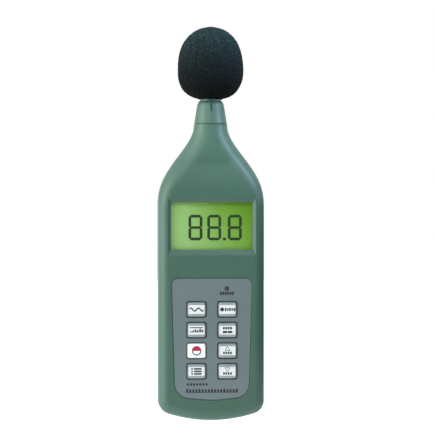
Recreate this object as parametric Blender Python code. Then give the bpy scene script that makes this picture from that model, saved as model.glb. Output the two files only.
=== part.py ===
"""Hand-held sound level meter: a two-part moulded case with a tapered neck, a half-inch electret
microphone under a foam windscreen, a display, a sprung keypad and a battery bay on the back.

Metres, +Z up along the length. The front faces -Y and +X is to the right seen from the front.
The origin is the middle of the bottom edge, on the microphone's axis and on the parting plane.
"""

import math

import bmesh
import bpy
from mathutils import Vector

MM = 0.001

# Gaps
FIT = 0.3 * MM                  # between two pieces that touch
KEY_GAP = 0.55 * MM             # round a key cap in its opening

# Case
CASE_WIDTH = 63.0 * MM
CASE_DEPTH = 26.0 * MM
WALL = 2.2 * MM
EDGE_RADIUS = 6.0 * MM          # broad rounded border of the front and the back
CORNER_RADIUS = 8.0 * MM        # bottom corners, seen from the front
BOTTOM_ARC_RADIUS = 85.0 * MM
SHOULDER_BASE = 128.0 * MM
SHOULDER_TOP = 176.0 * MM
SHOULDER_SKEW = 1.28            # above 1 the shoulder stays wide for longer
DEPTH_TAPER_BASE = 140.0 * MM
NECK_TOP = 176.8 * MM

# Microphone, collar and windscreen
MIC_RADIUS = 6.3 * MM
MIC_WALL = 0.8 * MM
SLEEVE_WALL = 1.0 * MM
SPIGOT_WALL = 0.9 * MM
SLEEVE_BOTTOM = 158.0 * MM
SPIGOT_LENGTH = 10.0 * MM
COLLAR_HEIGHT = 13.6 * MM
COLLAR_SLOT_LENGTH = 5.0 * MM
COLLAR_SLOT_WIDTH = 0.9 * MM
COLLAR_SLOT_DEPTH = 0.5 * MM
SLEEVE_SHOW = 3.3 * MM          # sleeve that stands above the collar
BARREL_LENGTH = 19.2 * MM
BARREL_SPIGOT = 8.0 * MM
GRID_HEIGHT = 4.2 * MM
CAPSULE_LENGTH = 7.5 * MM
WINDSCREEN_HEIGHT = 44.0 * MM
WINDSCREEN_RADIUS = 20.0 * MM
WINDSCREEN_LIFT = 0.8 * MM      # from the collar's top to the foam

# Display
DISPLAY_MARGIN = 5.35 * MM      # from the case's side to the display recess
DISPLAY_HEIGHT = 33.7 * MM
DISPLAY_MIDDLE = 115.5 * MM
DISPLAY_RECESS = 1.7 * MM
DISPLAY_SIDE_SLOPE = 1.8 * MM
DISPLAY_TOP_SLOPE = 2.4 * MM
DISPLAY_BOTTOM_SLOPE = 3.1 * MM
WINDOW_OVERLAP = 1.2 * MM
WINDOW_THICKNESS = 1.0 * MM
GLASS_THICKNESS = 1.8 * MM
REFLECTOR_THICKNESS = 0.8 * MM
CONTACT_STRIP_HEIGHT = 2.0 * MM
HOLDER_WALL = 1.5 * MM

# Printed panel
PANEL_MARGIN = 7.45 * MM        # from the case's side to the panel's top corners
PANEL_TAPER = 2.0 * MM          # taken from each side towards the bottom
PANEL_TOP = 84.7 * MM
PANEL_BOTTOM = 12.2 * MM
PANEL_TOP_RADIUS = 3.8 * MM
PANEL_BOTTOM_RADIUS = 9.0 * MM
PANEL_THICKNESS = 0.5 * MM
PANEL_INSET = 0.2 * MM          # panel's face below the case's face

# Keys
KEY_WIDTH = 10.6 * MM
KEY_HEIGHT = 8.4 * MM
KEY_CORNER = 1.2 * MM
KEY_PITCH_X = 18.4 * MM
KEY_PITCH_Z = 12.25 * MM
KEY_TOP_ROW = 66.3 * MM
KEY_PROUD = 0.7 * MM            # cap's face in front of the case's face
KEY_TRAVEL = 0.8 * MM
KEY_FLANGE = 1.1 * MM
KEY_FLANGE_THICKNESS = 1.0 * MM
PLUNGER_RADIUS = 2.2 * MM
MAT_THICKNESS = 1.0 * MM
MAT_MARGIN = 1.2 * MM
LED_RADIUS = 1.0 * MM
LED_HEIGHT = 78.7 * MM
LED_OFFSET = 8.9 * MM

# Circuit boards
BOARD_SETBACK = 6.4 * MM        # from the inside of the front wall to the board
BOARD_THICKNESS = 1.6 * MM
BOARD_MARGIN = 2.8 * MM         # from the inside of the side wall to the board
BOARD_BOTTOM = 12.0 * MM
BOARD_SHOULDER = 138.0 * MM
BOARD_TOP = 150.0 * MM
BOARD_TOP_WIDTH = 30.0 * MM
PREAMP_MARGIN = 0.7 * MM        # from the board's edge to the sleeve's bore
PREAMP_THICKNESS = 1.2 * MM
PREAMP_BOTTOM = 141.0 * MM
PREAMP_TOP = 180.0 * MM
CHIP_SIZE = 14.0 * MM
CHIP_THICKNESS = 1.4 * MM
CHIP_HEIGHT = 104.0 * MM
TRIMMER_SIZE = 7.0 * MM
TRIMMER_DEPTH = 4.5 * MM
TRIMMER_PLACE = (-14.5 * MM, 121.5 * MM)
CAPACITOR_RADIUS = 2.5 * MM
CAPACITOR_LENGTH = 7.0 * MM
CAPACITOR_PLACES = ((14.0 * MM, 126.0 * MM), (20.5 * MM, 118.0 * MM))
CRYSTAL_SIZE = (11.0 * MM, 3.6 * MM, 4.4 * MM)
CRYSTAL_HEIGHT = 118.0 * MM

# Battery bay
CELL_RADIUS = 5.25 * MM
CELL_LENGTH = 44.5 * MM
CELL_NUB_RADIUS = 1.9 * MM
CELL_NUB_LENGTH = 0.8 * MM
CELL_GAP = 0.4 * MM
CELL_COUNT = 4
BAY_BOTTOM = 13.4 * MM
BAY_FLOOR = 1.2 * MM
SPRING_LENGTH = 4.6 * MM
SPRING_RADIUS = 3.0 * MM
SPRING_WIRE = 0.3 * MM
SPRING_TURNS = 3
CONTACT_THICKNESS = 0.4 * MM
COVER_SPLIT = 7.0 * MM          # the cover takes what lies further back than this
COVER_RAIL = 1.5 * MM           # reach of each rail behind the case wall
COVER_RAIL_THICKNESS = 1.2 * MM
GRIP_GROOVES = 4
GRIP_DEPTH = 0.5 * MM
GRIP_PITCH = 2.4 * MM
GRIP_WIDTH = 1.2 * MM
GRIP_LENGTH = 16.0 * MM

# Fasteners and sockets
BOSS_RADIUS = 3.0 * MM
SCREW_RADIUS = 1.25 * MM
SCREW_HEAD_RADIUS = 2.6 * MM
SCREW_HEAD_HEIGHT = 2.0 * MM
SCREW_REACH = 6.0 * MM          # into the front boss
SCREW_SEAT = 6.0 * MM           # from the parting plane to the head's seat
LOWER_SCREW = (24.0 * MM, 71.0 * MM)
UPPER_SCREW = (19.0 * MM, 138.0 * MM)
TRIPOD_HEIGHT = 84.0 * MM
TRIPOD_THREAD_RADIUS = 3.2 * MM  # quarter-inch thread
TRIPOD_INSERT_RADIUS = 5.0 * MM
TRIPOD_INSERT_LENGTH = 8.0 * MM
JACK_RADIUS = 2.8 * MM
JACK_BORE = 1.8 * MM
JACK_LENGTH = 12.0 * MM
JACK_HEIGHT = 92.0 * MM
JACK_SETBACK = 4.0 * MM         # from the parting plane

# Places worked out from the sizes above
FRONT = -CASE_DEPTH / 2
BACK = CASE_DEPTH / 2
FRONT_INSIDE = FRONT + WALL
BACK_INSIDE = BACK - WALL
SIDE_INSIDE = CASE_WIDTH / 2 - WALL
SLEEVE_BORE = MIC_RADIUS - SLEEVE_WALL
NECK_BORE = MIC_RADIUS + FIT + SPIGOT_WALL + FIT
NECK_RADIUS = NECK_BORE + WALL
COLLAR_BASE = NECK_TOP + FIT
COLLAR_TOP = COLLAR_BASE + COLLAR_HEIGHT
SLEEVE_TOP = COLLAR_TOP + SLEEVE_SHOW
BARREL_BOTTOM = SLEEVE_TOP + FIT
BARREL_TOP = BARREL_BOTTOM + BARREL_LENGTH
GRID_TOP = BARREL_TOP + FIT + GRID_HEIGHT
FOAM_BOTTOM = COLLAR_TOP + WINDSCREEN_LIFT
BOARD_FRONT = FRONT_INSIDE + BOARD_SETBACK
BOARD_BACK = BOARD_FRONT + BOARD_THICKNESS
WINDOW_FRONT = FRONT_INSIDE + FIT
GLASS_FRONT = WINDOW_FRONT + WINDOW_THICKNESS + FIT
REFLECTOR_FRONT = GLASS_FRONT + GLASS_THICKNESS + FIT
THROAT_WIDTH = CASE_WIDTH - 2 * (DISPLAY_MARGIN + DISPLAY_SIDE_SLOPE)
THROAT_HEIGHT = DISPLAY_HEIGHT - DISPLAY_TOP_SLOPE - DISPLAY_BOTTOM_SLOPE
THROAT_MIDDLE = DISPLAY_MIDDLE + (DISPLAY_BOTTOM_SLOPE - DISPLAY_TOP_SLOPE) / 2
WINDOW_WIDTH = THROAT_WIDTH + 2 * WINDOW_OVERLAP
WINDOW_HEIGHT = THROAT_HEIGHT + 2 * WINDOW_OVERLAP
PANEL_FRONT = FRONT + PANEL_INSET
PANEL_FLOOR = PANEL_FRONT + PANEL_THICKNESS + FIT
CELL_PITCH = 2 * CELL_RADIUS + CELL_GAP
BAY_HALF_WIDTH = CELL_COUNT * CELL_PITCH / 2
BAY_TOP = BAY_BOTTOM + FIT + SPRING_LENGTH + FIT + CELL_LENGTH + FIT + CONTACT_THICKNESS + FIT
CELL_AXIS = BACK_INSIDE - FIT - CELL_RADIUS
TRAY_FLOOR = CELL_AXIS - CELL_RADIUS - FIT
COVER_HALF_WIDTH = BAY_HALF_WIDTH + FIT
COVER_TOP = BAY_TOP - BAY_FLOOR
RAIL_BACK = BACK_INSIDE - FIT
RAIL_FRONT = RAIL_BACK - COVER_RAIL_THICKNESS
KEY_OPENING = (KEY_WIDTH + 2 * KEY_GAP, KEY_HEIGHT + 2 * KEY_GAP)
KEY_NAMES = (
    ("key_function", "key_record"),
    ("key_max_hold", "key_response"),
    ("key_power", "key_up"),
    ("key_menu", "key_down"),
)


# ---------------------------------------------------------------- shapes as (points, faces)

def joined(shapes):
    """Several shapes as one list of points and faces."""
    points = []
    faces = []
    for shape_points, shape_faces in shapes:
        first = len(points)
        points.extend(shape_points)
        faces.extend(tuple(first + index for index in face) for face in shape_faces)
    return points, faces


def grid_faces(rows, columns, offset=0, wrap_rows=False, wrap_columns=False):
    """Quads over a grid of points that is stored row by row."""
    faces = []
    for row in range(rows if wrap_rows else rows - 1):
        below = offset + row * columns
        above = offset + (row + 1) % rows * columns
        for column in range(columns if wrap_columns else columns - 1):
            beside = (column + 1) % columns
            faces.append((below + column, below + beside, above + beside, above + column))
    return faces


def lofted(sections):
    """A closed solid through outlines of (x, z) points, each at its own y."""
    count = len(sections[0][0])
    points = [Vector((x, y, z)) for outline, y in sections for x, z in outline]
    faces = grid_faces(len(sections), count, wrap_columns=True)
    last = (len(sections) - 1) * count
    faces.append(tuple(range(count)))
    faces.append(tuple(range(last + count - 1, last - 1, -1)))
    return points, faces


def prism(outline, y_front, y_back):
    """An outline of (x, z) points carried from y_front to y_back."""
    return lofted(((outline, y_front), (outline, y_back)))


def box(low, high):
    """A box between two corners."""
    outline = ((low[0], low[2]), (high[0], low[2]), (high[0], high[2]), (low[0], high[2]))
    return prism(outline, low[1], high[1])


def turned(profile, place=(0, 0, 0), axis="Z", segments=32, ring=False):
    """A profile of (radius, height) points turned about an axis; a ring's profile is closed."""
    frames = {
        "X": (Vector((0, 1, 0)), Vector((0, 0, 1)), Vector((1, 0, 0))),
        "Y": (Vector((1, 0, 0)), Vector((0, 0, 1)), Vector((0, 1, 0))),
        "Z": (Vector((1, 0, 0)), Vector((0, 1, 0)), Vector((0, 0, 1))),
    }
    across, up, along = frames[axis]
    points = []
    for radius, height in profile:
        for step in range(segments):
            angle = 2 * math.pi * step / segments
            spoke = across * math.cos(angle) + up * math.sin(angle)
            points.append(Vector(place) + spoke * radius + along * height)
    faces = grid_faces(len(profile), segments, wrap_rows=ring, wrap_columns=True)
    return points, faces


def coil(place, radius, wire, height, turns, steps=10, sides=5):
    """A helix of round wire that rises along Z, its ends closed flat."""
    points = []
    rows = turns * steps + 1
    for row in range(rows):
        angle = 2 * math.pi * row / steps
        rise = wire + (height - 2 * wire) * row / (rows - 1)
        outward = Vector((math.cos(angle), math.sin(angle), 0))
        middle = Vector(place) + outward * radius + Vector((0, 0, rise))
        for side in range(sides):
            turn = 2 * math.pi * side / sides
            points.append(middle + outward * wire * math.cos(turn)
                          + Vector((0, 0, wire * math.sin(turn))))
    faces = grid_faces(rows, sides, wrap_columns=True)
    last = (rows - 1) * sides
    faces.append(tuple(range(sides)))
    faces.append(tuple(range(last + sides - 1, last - 1, -1)))
    return points, faces


def rounded_outline(corners, steps=4):
    """Polygon of (x, z, radius) corners, anticlockwise, with each corner as an arc."""
    outline = []
    count = len(corners)
    for index, (x, z, radius) in enumerate(corners):
        corner = Vector((x, z))
        before = (Vector(corners[index - 1][:2]) - corner).normalized()
        after = (Vector(corners[(index + 1) % count][:2]) - corner).normalized()
        half_angle = before.angle(after) / 2
        centre = corner + (before + after).normalized() * radius / math.sin(half_angle)
        start = corner + before * radius / math.tan(half_angle) - centre
        sweep = math.pi - 2 * half_angle
        for step in range(steps + 1):
            turn = sweep * step / steps
            outline.append((
                centre.x + start.x * math.cos(turn) - start.y * math.sin(turn),
                centre.y + start.x * math.sin(turn) + start.y * math.cos(turn),
            ))
    return outline


def rounded_rectangle(width, height, radius, x=0.0, z=0.0, steps=3):
    """Outline of a rectangle with round corners, about (x, z)."""
    half_width = width / 2
    half_height = height / 2
    signs = ((1, -1), (1, 1), (-1, 1), (-1, -1))
    corners = [(x + sx * half_width, z + sz * half_height, radius) for sx, sz in signs]
    return rounded_outline(corners, steps)


# ---------------------------------------------------------------- objects

def material(name, colour, roughness, metallic=0.0):
    """A plain Principled material."""
    made = bpy.data.materials.new(name)
    made.use_nodes = True
    shader = made.node_tree.nodes["Principled BSDF"]
    shader.inputs["Base Color"].default_value = (*colour, 1.0)
    shader.inputs["Roughness"].default_value = roughness
    shader.inputs["Metallic"].default_value = metallic
    made.diffuse_color = (*colour, 1.0)
    return made


def object_from(name, shape, origin=(0, 0, 0)):
    """A mesh object of closed bodies that face outwards, with its origin where it is asked for."""
    points, faces = shape
    origin = Vector(origin)
    mesh = bpy.data.meshes.new(name)
    mesh.from_pydata([point - origin for point in points], [], faces)
    edit = bmesh.new()
    edit.from_mesh(mesh)
    bmesh.ops.remove_doubles(edit, verts=edit.verts, dist=0.001 * MM)
    bmesh.ops.dissolve_degenerate(edit, edges=edit.edges, dist=0.001 * MM)
    bmesh.ops.recalc_face_normals(edit, faces=edit.faces)
    edit.to_mesh(mesh)
    edit.free()
    made = bpy.data.objects.new(name, mesh)
    made.location = origin
    bpy.context.scene.collection.objects.link(made)
    return made


def solid(name, shape, colour, roughness=0.5, metallic=0.0, origin=(0, 0, 0)):
    """One sub-part, with its own material and smooth shading up to a crease."""
    made = object_from(name, shape, origin)
    made.data.materials.append(material(name, colour, roughness, metallic))
    made.data.shade_smooth()
    made.data.set_sharp_from_angle(angle=math.radians(35))
    return made


def shape_with(target, operation, name, shape):
    """Cut a shape from the target, or add one to it, by a Boolean that stays live."""
    tool = object_from(name, shape)
    tool.hide_render = True
    tool.display_type = "WIRE"
    change = target.modifiers.new(name, "BOOLEAN")
    change.operation = operation
    change.solver = "EXACT"
    change.object = tool


# ---------------------------------------------------------------- case

def ease(value):
    """Smooth step from 0 to 1, flat at both ends."""
    value = min(max(value, 0.0), 1.0)
    return value * value * (3 - 2 * value)


def half_width_at(height):
    """Half the case's width in the shoulder, an S-curve from the body to the neck."""
    share = (height - SHOULDER_BASE) / (SHOULDER_TOP - SHOULDER_BASE)
    blend = ease(min(max(share, 0.0), 1.0) ** SHOULDER_SKEW)
    return CASE_WIDTH / 2 + (NECK_RADIUS - CASE_WIDTH / 2) * blend


def half_depth_at(height):
    """Half the case's depth, which eases in to the neck's radius."""
    share = (height - DEPTH_TAPER_BASE) / (SHOULDER_TOP - DEPTH_TAPER_BASE)
    return CASE_DEPTH / 2 + (NECK_RADIUS - CASE_DEPTH / 2) * ease(share)


def edge_radius_at(height):
    """Radius of the case's border, which opens out to the neck's full round."""
    share = (height - SHOULDER_BASE) / (SHOULDER_TOP - SHOULDER_BASE)
    return EDGE_RADIUS + (NECK_RADIUS - FIT - EDGE_RADIUS) * ease(share)


def case_outline():
    """Right half of the front view from the neck down to the middle of the bottom: (x, z) with
    the inward direction. S-curve shoulder, straight side, corner arc and shallow bottom arc."""
    outline = [(NECK_RADIUS, NECK_TOP, -1.0, 0.0)]
    shoulder_steps = 18
    for step in range(shoulder_steps + 1):
        height = SHOULDER_TOP + (SHOULDER_BASE - SHOULDER_TOP) * step / shoulder_steps
        slope = (half_width_at(height + 0.1 * MM) - half_width_at(height - 0.1 * MM)) / (0.2 * MM)
        length = math.hypot(1.0, slope)
        outline.append((half_width_at(height), height, -1.0 / length, slope / length))
    corner_x = CASE_WIDTH / 2 - CORNER_RADIUS
    lean = math.asin(corner_x / (BOTTOM_ARC_RADIUS - CORNER_RADIUS))
    corner_z = BOTTOM_ARC_RADIUS - (BOTTOM_ARC_RADIUS - CORNER_RADIUS) * math.cos(lean)
    corner_steps = 7
    for step in range(corner_steps + 1):
        angle = -(math.pi / 2 - lean) * step / corner_steps
        across = math.cos(angle)
        down = math.sin(angle)
        outline.append((corner_x + CORNER_RADIUS * across, corner_z + CORNER_RADIUS * down,
                        -across, -down))
    bottom_steps = 6
    for step in range(1, bottom_steps + 1):
        angle = lean * (1 - step / bottom_steps)
        outline.append((BOTTOM_ARC_RADIUS * math.sin(angle),
                        BOTTOM_ARC_RADIUS * (1 - math.cos(angle)),
                        -math.sin(angle), math.cos(angle)))
    return outline


def case_rows(inset, side):
    """Rows of points round half a section: out along one side, over the rounded border and the
    face, and back. side is -1 for the front half and 1 for the rear half."""
    border_steps = 5
    rows = []
    for x, z, inward_x, inward_z in case_outline():
        radius = edge_radius_at(z) - inset
        flat = half_depth_at(z) - inset - radius
        right = [(inset, FIT / 2)]
        for step in range(border_steps + 1):
            angle = math.pi / 2 * step / border_steps
            right.append((inset + radius * (1 - math.cos(angle)), flat + radius * math.sin(angle)))
        row = [Vector((x + inward_x * move, side * depth, z + inward_z * move))
               for move, depth in right]
        row.extend(Vector((-point.x, point.y, point.z)) for point in reversed(row[:]))
        rows.append(row)
    return rows


def case_half(side):
    """Half of the hollow case, from the parting plane to the front or the back."""
    outer = case_rows(0.0, side)
    inner = case_rows(WALL, side)
    count = len(outer)
    across = len(outer[0])
    points = [point for row in outer + inner for point in row]
    faces = grid_faces(count, across)
    faces.extend(grid_faces(count, across, offset=count * across))
    for row in range(count - 1):
        for column in (0, across - 1):
            here = row * across + column
            faces.append((here, here + across, here + across + count * across,
                          here + count * across))
    for column in range(across - 1):
        faces.append((column, column + 1, column + 1 + count * across, column + count * across))
    return points, faces


def screw_places():
    """Where the four case screws stand, as (x, z)."""
    return [(side * x, z) for x, z in (LOWER_SCREW, UPPER_SCREW) for side in (-1, 1)]


def key_places():
    """Each key's name and the middle of its cap, as (name, x, z)."""
    places = []
    for row, names in enumerate(KEY_NAMES):
        for side, name in zip((-1, 1), names):
            places.append((name, side * KEY_PITCH_X / 2, KEY_TOP_ROW - row * KEY_PITCH_Z))
    return places


def round_bar(place, radius, y_front, y_back, segments=16):
    """A solid cylinder along Y at (x, z), as a prism."""
    x, z = place
    outline = [(x + radius * math.cos(2 * math.pi * step / segments),
                z + radius * math.sin(2 * math.pi * step / segments)) for step in range(segments)]
    return prism(outline, y_front, y_back)


def panel_outline(grow=0.0):
    """The printed panel: a long shape, a little narrower below, on a shallow arc."""
    top = CASE_WIDTH / 2 - PANEL_MARGIN + grow
    bottom = top - PANEL_TAPER
    arc_rise = 1.9 * MM
    low = PANEL_BOTTOM - grow
    corners = (
        (0.0, low - 0.1 * MM, 60.0 * MM),
        (bottom, low + arc_rise, PANEL_BOTTOM_RADIUS + grow),
        (top, PANEL_TOP + grow, PANEL_TOP_RADIUS + grow),
        (-top, PANEL_TOP + grow, PANEL_TOP_RADIUS + grow),
        (-bottom, low + arc_rise, PANEL_BOTTOM_RADIUS + grow),
    )
    return rounded_outline(corners, steps=5)


def make_front_shell():
    """Front of the case with its display recess, panel recess, openings and screw bosses."""
    colour = (0.10, 0.17, 0.145)
    shell = solid("front_shell", case_half(-1), colour, 0.45)
    bosses = [round_bar(place, BOSS_RADIUS, FRONT_INSIDE - FIT, -FIT / 2)
              for place in screw_places()]
    shape_with(shell, "UNION", "front_boss_tool", joined(bosses))
    outside = FRONT - 2 * MM
    inside = FRONT_INSIDE + MM
    face = rounded_rectangle(CASE_WIDTH - 2 * DISPLAY_MARGIN, DISPLAY_HEIGHT, 1.0 * MM,
                             z=DISPLAY_MIDDLE)
    throat = rounded_rectangle(THROAT_WIDTH, THROAT_HEIGHT, 0.6 * MM, z=THROAT_MIDDLE)
    recess = lofted(((face, outside), (face, FRONT), (throat, FRONT + DISPLAY_RECESS),
                     (throat, inside)))
    pilots = [round_bar(place, SCREW_RADIUS + FIT, -SCREW_REACH - FIT, MM, 12)
              for place in screw_places()]
    shape_with(shell, "DIFFERENCE", "display_recess_tool", recess)
    shape_with(shell, "DIFFERENCE", "panel_recess_tool",
               prism(panel_outline(FIT), outside, PANEL_FLOOR))
    openings = [prism(rounded_rectangle(*KEY_OPENING, KEY_CORNER, x, z), outside + MM / 2, inside)
                for _, x, z in key_places()]
    openings.append(round_bar((LED_OFFSET, LED_HEIGHT), LED_RADIUS + FIT, outside + MM / 2,
                              inside, 12))
    shape_with(shell, "DIFFERENCE", "front_openings_tool", joined(openings + pilots))


def cover_region(grow):
    """The block of the case's back that slides away with the battery cover."""
    half = COVER_HALF_WIDTH + grow
    return box((-half, COVER_SPLIT + FIT - grow, -5 * MM), (half, BACK + 5 * MM, COVER_TOP + grow))


def make_rear_shell():
    """Back of the case with its battery opening, screw tubes, tripod boss and jack hole."""
    shell = solid("rear_shell", case_half(1), (0.09, 0.15, 0.13), 0.5)
    embed = BACK_INSIDE + FIT
    posts = [round_bar(place, BOSS_RADIUS + 1.2 * MM, FIT / 2, embed) for place in screw_places()]
    tripod = (0.0, TRIPOD_HEIGHT)
    insert_end = BACK - FIT - TRIPOD_INSERT_LENGTH
    posts.append(round_bar(tripod, TRIPOD_INSERT_RADIUS + FIT + 1.6 * MM,
                           insert_end - FIT - 1.5 * MM, embed, 24))
    shape_with(shell, "UNION", "rear_boss_tool", joined(posts))
    holes = [round_bar(place, SCREW_RADIUS + FIT, -MM, SCREW_SEAT + FIT, 12)
             for place in screw_places()]
    shape_with(shell, "DIFFERENCE", "screw_hole_tool", joined(holes))
    wells = [round_bar(place, SCREW_HEAD_RADIUS + FIT, SCREW_SEAT, BACK + MM)
             for place in screw_places()]
    wells.append(round_bar(tripod, TRIPOD_INSERT_RADIUS + FIT, insert_end - FIT, BACK + MM, 24))
    jack_hole = ((0.0, -5 * MM), (JACK_RADIUS + FIT, -5 * MM),
                 (JACK_RADIUS + FIT, 5 * MM), (0.0, 5 * MM))
    wells.append(turned(jack_hole, (CASE_WIDTH / 2, JACK_SETBACK, JACK_HEIGHT), "X", 16))
    wells.append(cover_region(FIT))
    shape_with(shell, "DIFFERENCE", "rear_openings_tool", joined(wells))
    reach = COVER_HALF_WIDTH + COVER_RAIL + FIT
    rail_way = box((-reach, RAIL_FRONT - FIT, -5 * MM), (reach, RAIL_BACK + FIT, rail_bottom()))
    shape_with(shell, "DIFFERENCE", "rail_way_tool", rail_way)


def rail_bottom():
    """Where the cover's rails begin, just inside the bottom wall."""
    return WALL + EDGE_RADIUS + 1.5 * MM


def make_battery_cover():
    """The sliding cover: its piece of the back and of the bottom edge, two rails and a grip."""
    cover = solid("battery_cover", case_half(1), (0.09, 0.15, 0.13), 0.5)
    shape_with(cover, "INTERSECT", "cover_region_tool", cover_region(0.0))
    inner = COVER_HALF_WIDTH - 1.2 * MM
    outer = COVER_HALF_WIDTH + COVER_RAIL
    rails = []
    for side in (-1, 1):
        section = ((inner, RAIL_FRONT), (outer, RAIL_FRONT), (outer, RAIL_BACK),
                   (COVER_HALF_WIDTH, RAIL_BACK), (COVER_HALF_WIDTH, BACK_INSIDE + FIT),
                   (inner, BACK_INSIDE + FIT))
        count = len(section)
        points = [Vector((side * x, y, z)) for z in (rail_bottom(), COVER_TOP - 2 * MM)
                  for x, y in section]
        faces = grid_faces(2, count, wrap_columns=True)
        faces.append(tuple(range(count)))
        faces.append(tuple(range(2 * count - 1, count - 1, -1)))
        rails.append((points, faces))
    shape_with(cover, "UNION", "cover_rail_tool", joined(rails))
    grooves = []
    for step in range(GRIP_GROOVES):
        low = COVER_TOP - 8 * MM - step * GRIP_PITCH
        grooves.append(box((-GRIP_LENGTH / 2, BACK - GRIP_DEPTH, low - GRIP_WIDTH),
                           (GRIP_LENGTH / 2, BACK + MM, low)))
    shape_with(cover, "DIFFERENCE", "grip_tool", joined(grooves))


def make_case_screws():
    """Four countersunk-in screws from the back, each with a cross recess."""
    for number, (x, z) in enumerate(screw_places(), start=1):
        seat = SCREW_SEAT + FIT
        profile = ((0.0, -SCREW_REACH), (SCREW_RADIUS * 0.6, -SCREW_REACH),
                   (SCREW_RADIUS, -SCREW_REACH + MM), (SCREW_RADIUS, seat),
                   (SCREW_HEAD_RADIUS, seat),
                   (SCREW_HEAD_RADIUS, seat + SCREW_HEAD_HEIGHT * 0.6),
                   (SCREW_HEAD_RADIUS * 0.7, seat + SCREW_HEAD_HEIGHT),
                   (0.0, seat + SCREW_HEAD_HEIGHT))
        screw = solid(f"case_screw_{number}", turned(profile, (x, 0, z), "Y", 16),
                      (0.55, 0.55, 0.57), 0.3, 1.0)
        arm = SCREW_HEAD_RADIUS * 0.55
        slot = 0.35 * MM
        floor = seat + SCREW_HEAD_HEIGHT - 0.9 * MM
        top = seat + SCREW_HEAD_HEIGHT + MM
        cross = [(x - arm, z - slot), (x - slot, z - slot), (x - slot, z - arm),
                 (x + slot, z - arm), (x + slot, z - slot), (x + arm, z - slot),
                 (x + arm, z + slot), (x + slot, z + slot), (x + slot, z + arm),
                 (x - slot, z + arm), (x - slot, z + slot), (x - arm, z + slot)]
        shape_with(screw, "DIFFERENCE", f"cross_recess_tool_{number}", prism(cross, floor, top))


def make_tripod_insert():
    """Brass insert for a quarter-inch tripod screw, just below the face of the back."""
    back = BACK - FIT
    front = back - TRIPOD_INSERT_LENGTH
    profile = ((TRIPOD_THREAD_RADIUS, front), (TRIPOD_INSERT_RADIUS, front),
               (TRIPOD_INSERT_RADIUS, back), (TRIPOD_THREAD_RADIUS, back))
    solid("tripod_insert", turned(profile, (0, 0, TRIPOD_HEIGHT), "Y", 24, ring=True),
          (0.72, 0.53, 0.22), 0.3, 1.0)


def make_output_jack():
    """Small round socket in the right side of the rear shell."""
    outer = CASE_WIDTH / 2 - FIT
    profile = ((JACK_BORE, outer - JACK_LENGTH), (JACK_RADIUS, outer - JACK_LENGTH),
               (JACK_RADIUS, outer), (JACK_BORE, outer))
    solid("output_jack", turned(profile, (0, JACK_SETBACK, JACK_HEIGHT), "X", 20, ring=True),
          (0.02, 0.02, 0.02), 0.4)


# ---------------------------------------------------------------- front

def make_keypad_overlay():
    """The printed panel, with its key and lamp openings."""
    panel = solid("keypad_overlay", prism(panel_outline(), PANEL_FRONT,
                                          PANEL_FRONT + PANEL_THICKNESS), (0.19, 0.26, 0.29), 0.4)
    outside = PANEL_FRONT - MM
    inside = PANEL_FRONT + PANEL_THICKNESS + MM
    openings = [prism(rounded_rectangle(*KEY_OPENING, KEY_CORNER, x, z), outside, inside)
                for _, x, z in key_places()]
    openings.append(round_bar((LED_OFFSET, LED_HEIGHT), LED_RADIUS + FIT, outside, inside, 12))
    shape_with(panel, "DIFFERENCE", "overlay_openings_tool", joined(openings))


def make_keys():
    """Eight keys: a crowned cap, a flange behind the wall and a plunger with a contact pill."""
    front = FRONT - KEY_PROUD
    flange = FRONT_INSIDE + FIT
    end = BOARD_FRONT - FIT - KEY_TRAVEL
    sizes = (
        (-1.6 * MM, -2.6 * MM, front),
        (-0.4 * MM, -0.8 * MM, front + 0.25 * MM),
        (0.0, 0.0, front + 0.6 * MM),
        (0.0, 0.0, flange),
        (2 * KEY_FLANGE, 2 * KEY_FLANGE, flange),
        (2 * KEY_FLANGE, 2 * KEY_FLANGE, flange + KEY_FLANGE_THICKNESS),
    )
    for name, x, z in key_places():
        sections = [(rounded_rectangle(KEY_WIDTH + wide, KEY_HEIGHT + high, KEY_CORNER, x, z), y)
                    for wide, high, y in sizes]
        plunger = rounded_rectangle(2 * PLUNGER_RADIUS, 2 * PLUNGER_RADIUS, PLUNGER_RADIUS * 0.999,
                                    x, z)
        sections.append((plunger, flange + KEY_FLANGE_THICKNESS))
        sections.append((plunger, end))
        solid(name, lofted(sections), (0.62, 0.65, 0.64), 0.45, origin=(x, 0, z))


def make_status_led():
    """Small round lamp behind the panel."""
    tip = PANEL_FRONT - 0.1 * MM
    foot = BOARD_FRONT - FIT
    body = FRONT_INSIDE + FIT
    profile = ((0.0, tip), (LED_RADIUS * 0.6, tip + 0.15 * MM), (LED_RADIUS, tip + 0.6 * MM),
               (LED_RADIUS, body), (LED_RADIUS * 1.5, body), (LED_RADIUS * 1.5, foot), (0.0, foot))
    solid("status_led", turned(profile, (LED_OFFSET, 0, LED_HEIGHT), "Y", 16),
          (0.25, 0.03, 0.06), 0.25)


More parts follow.
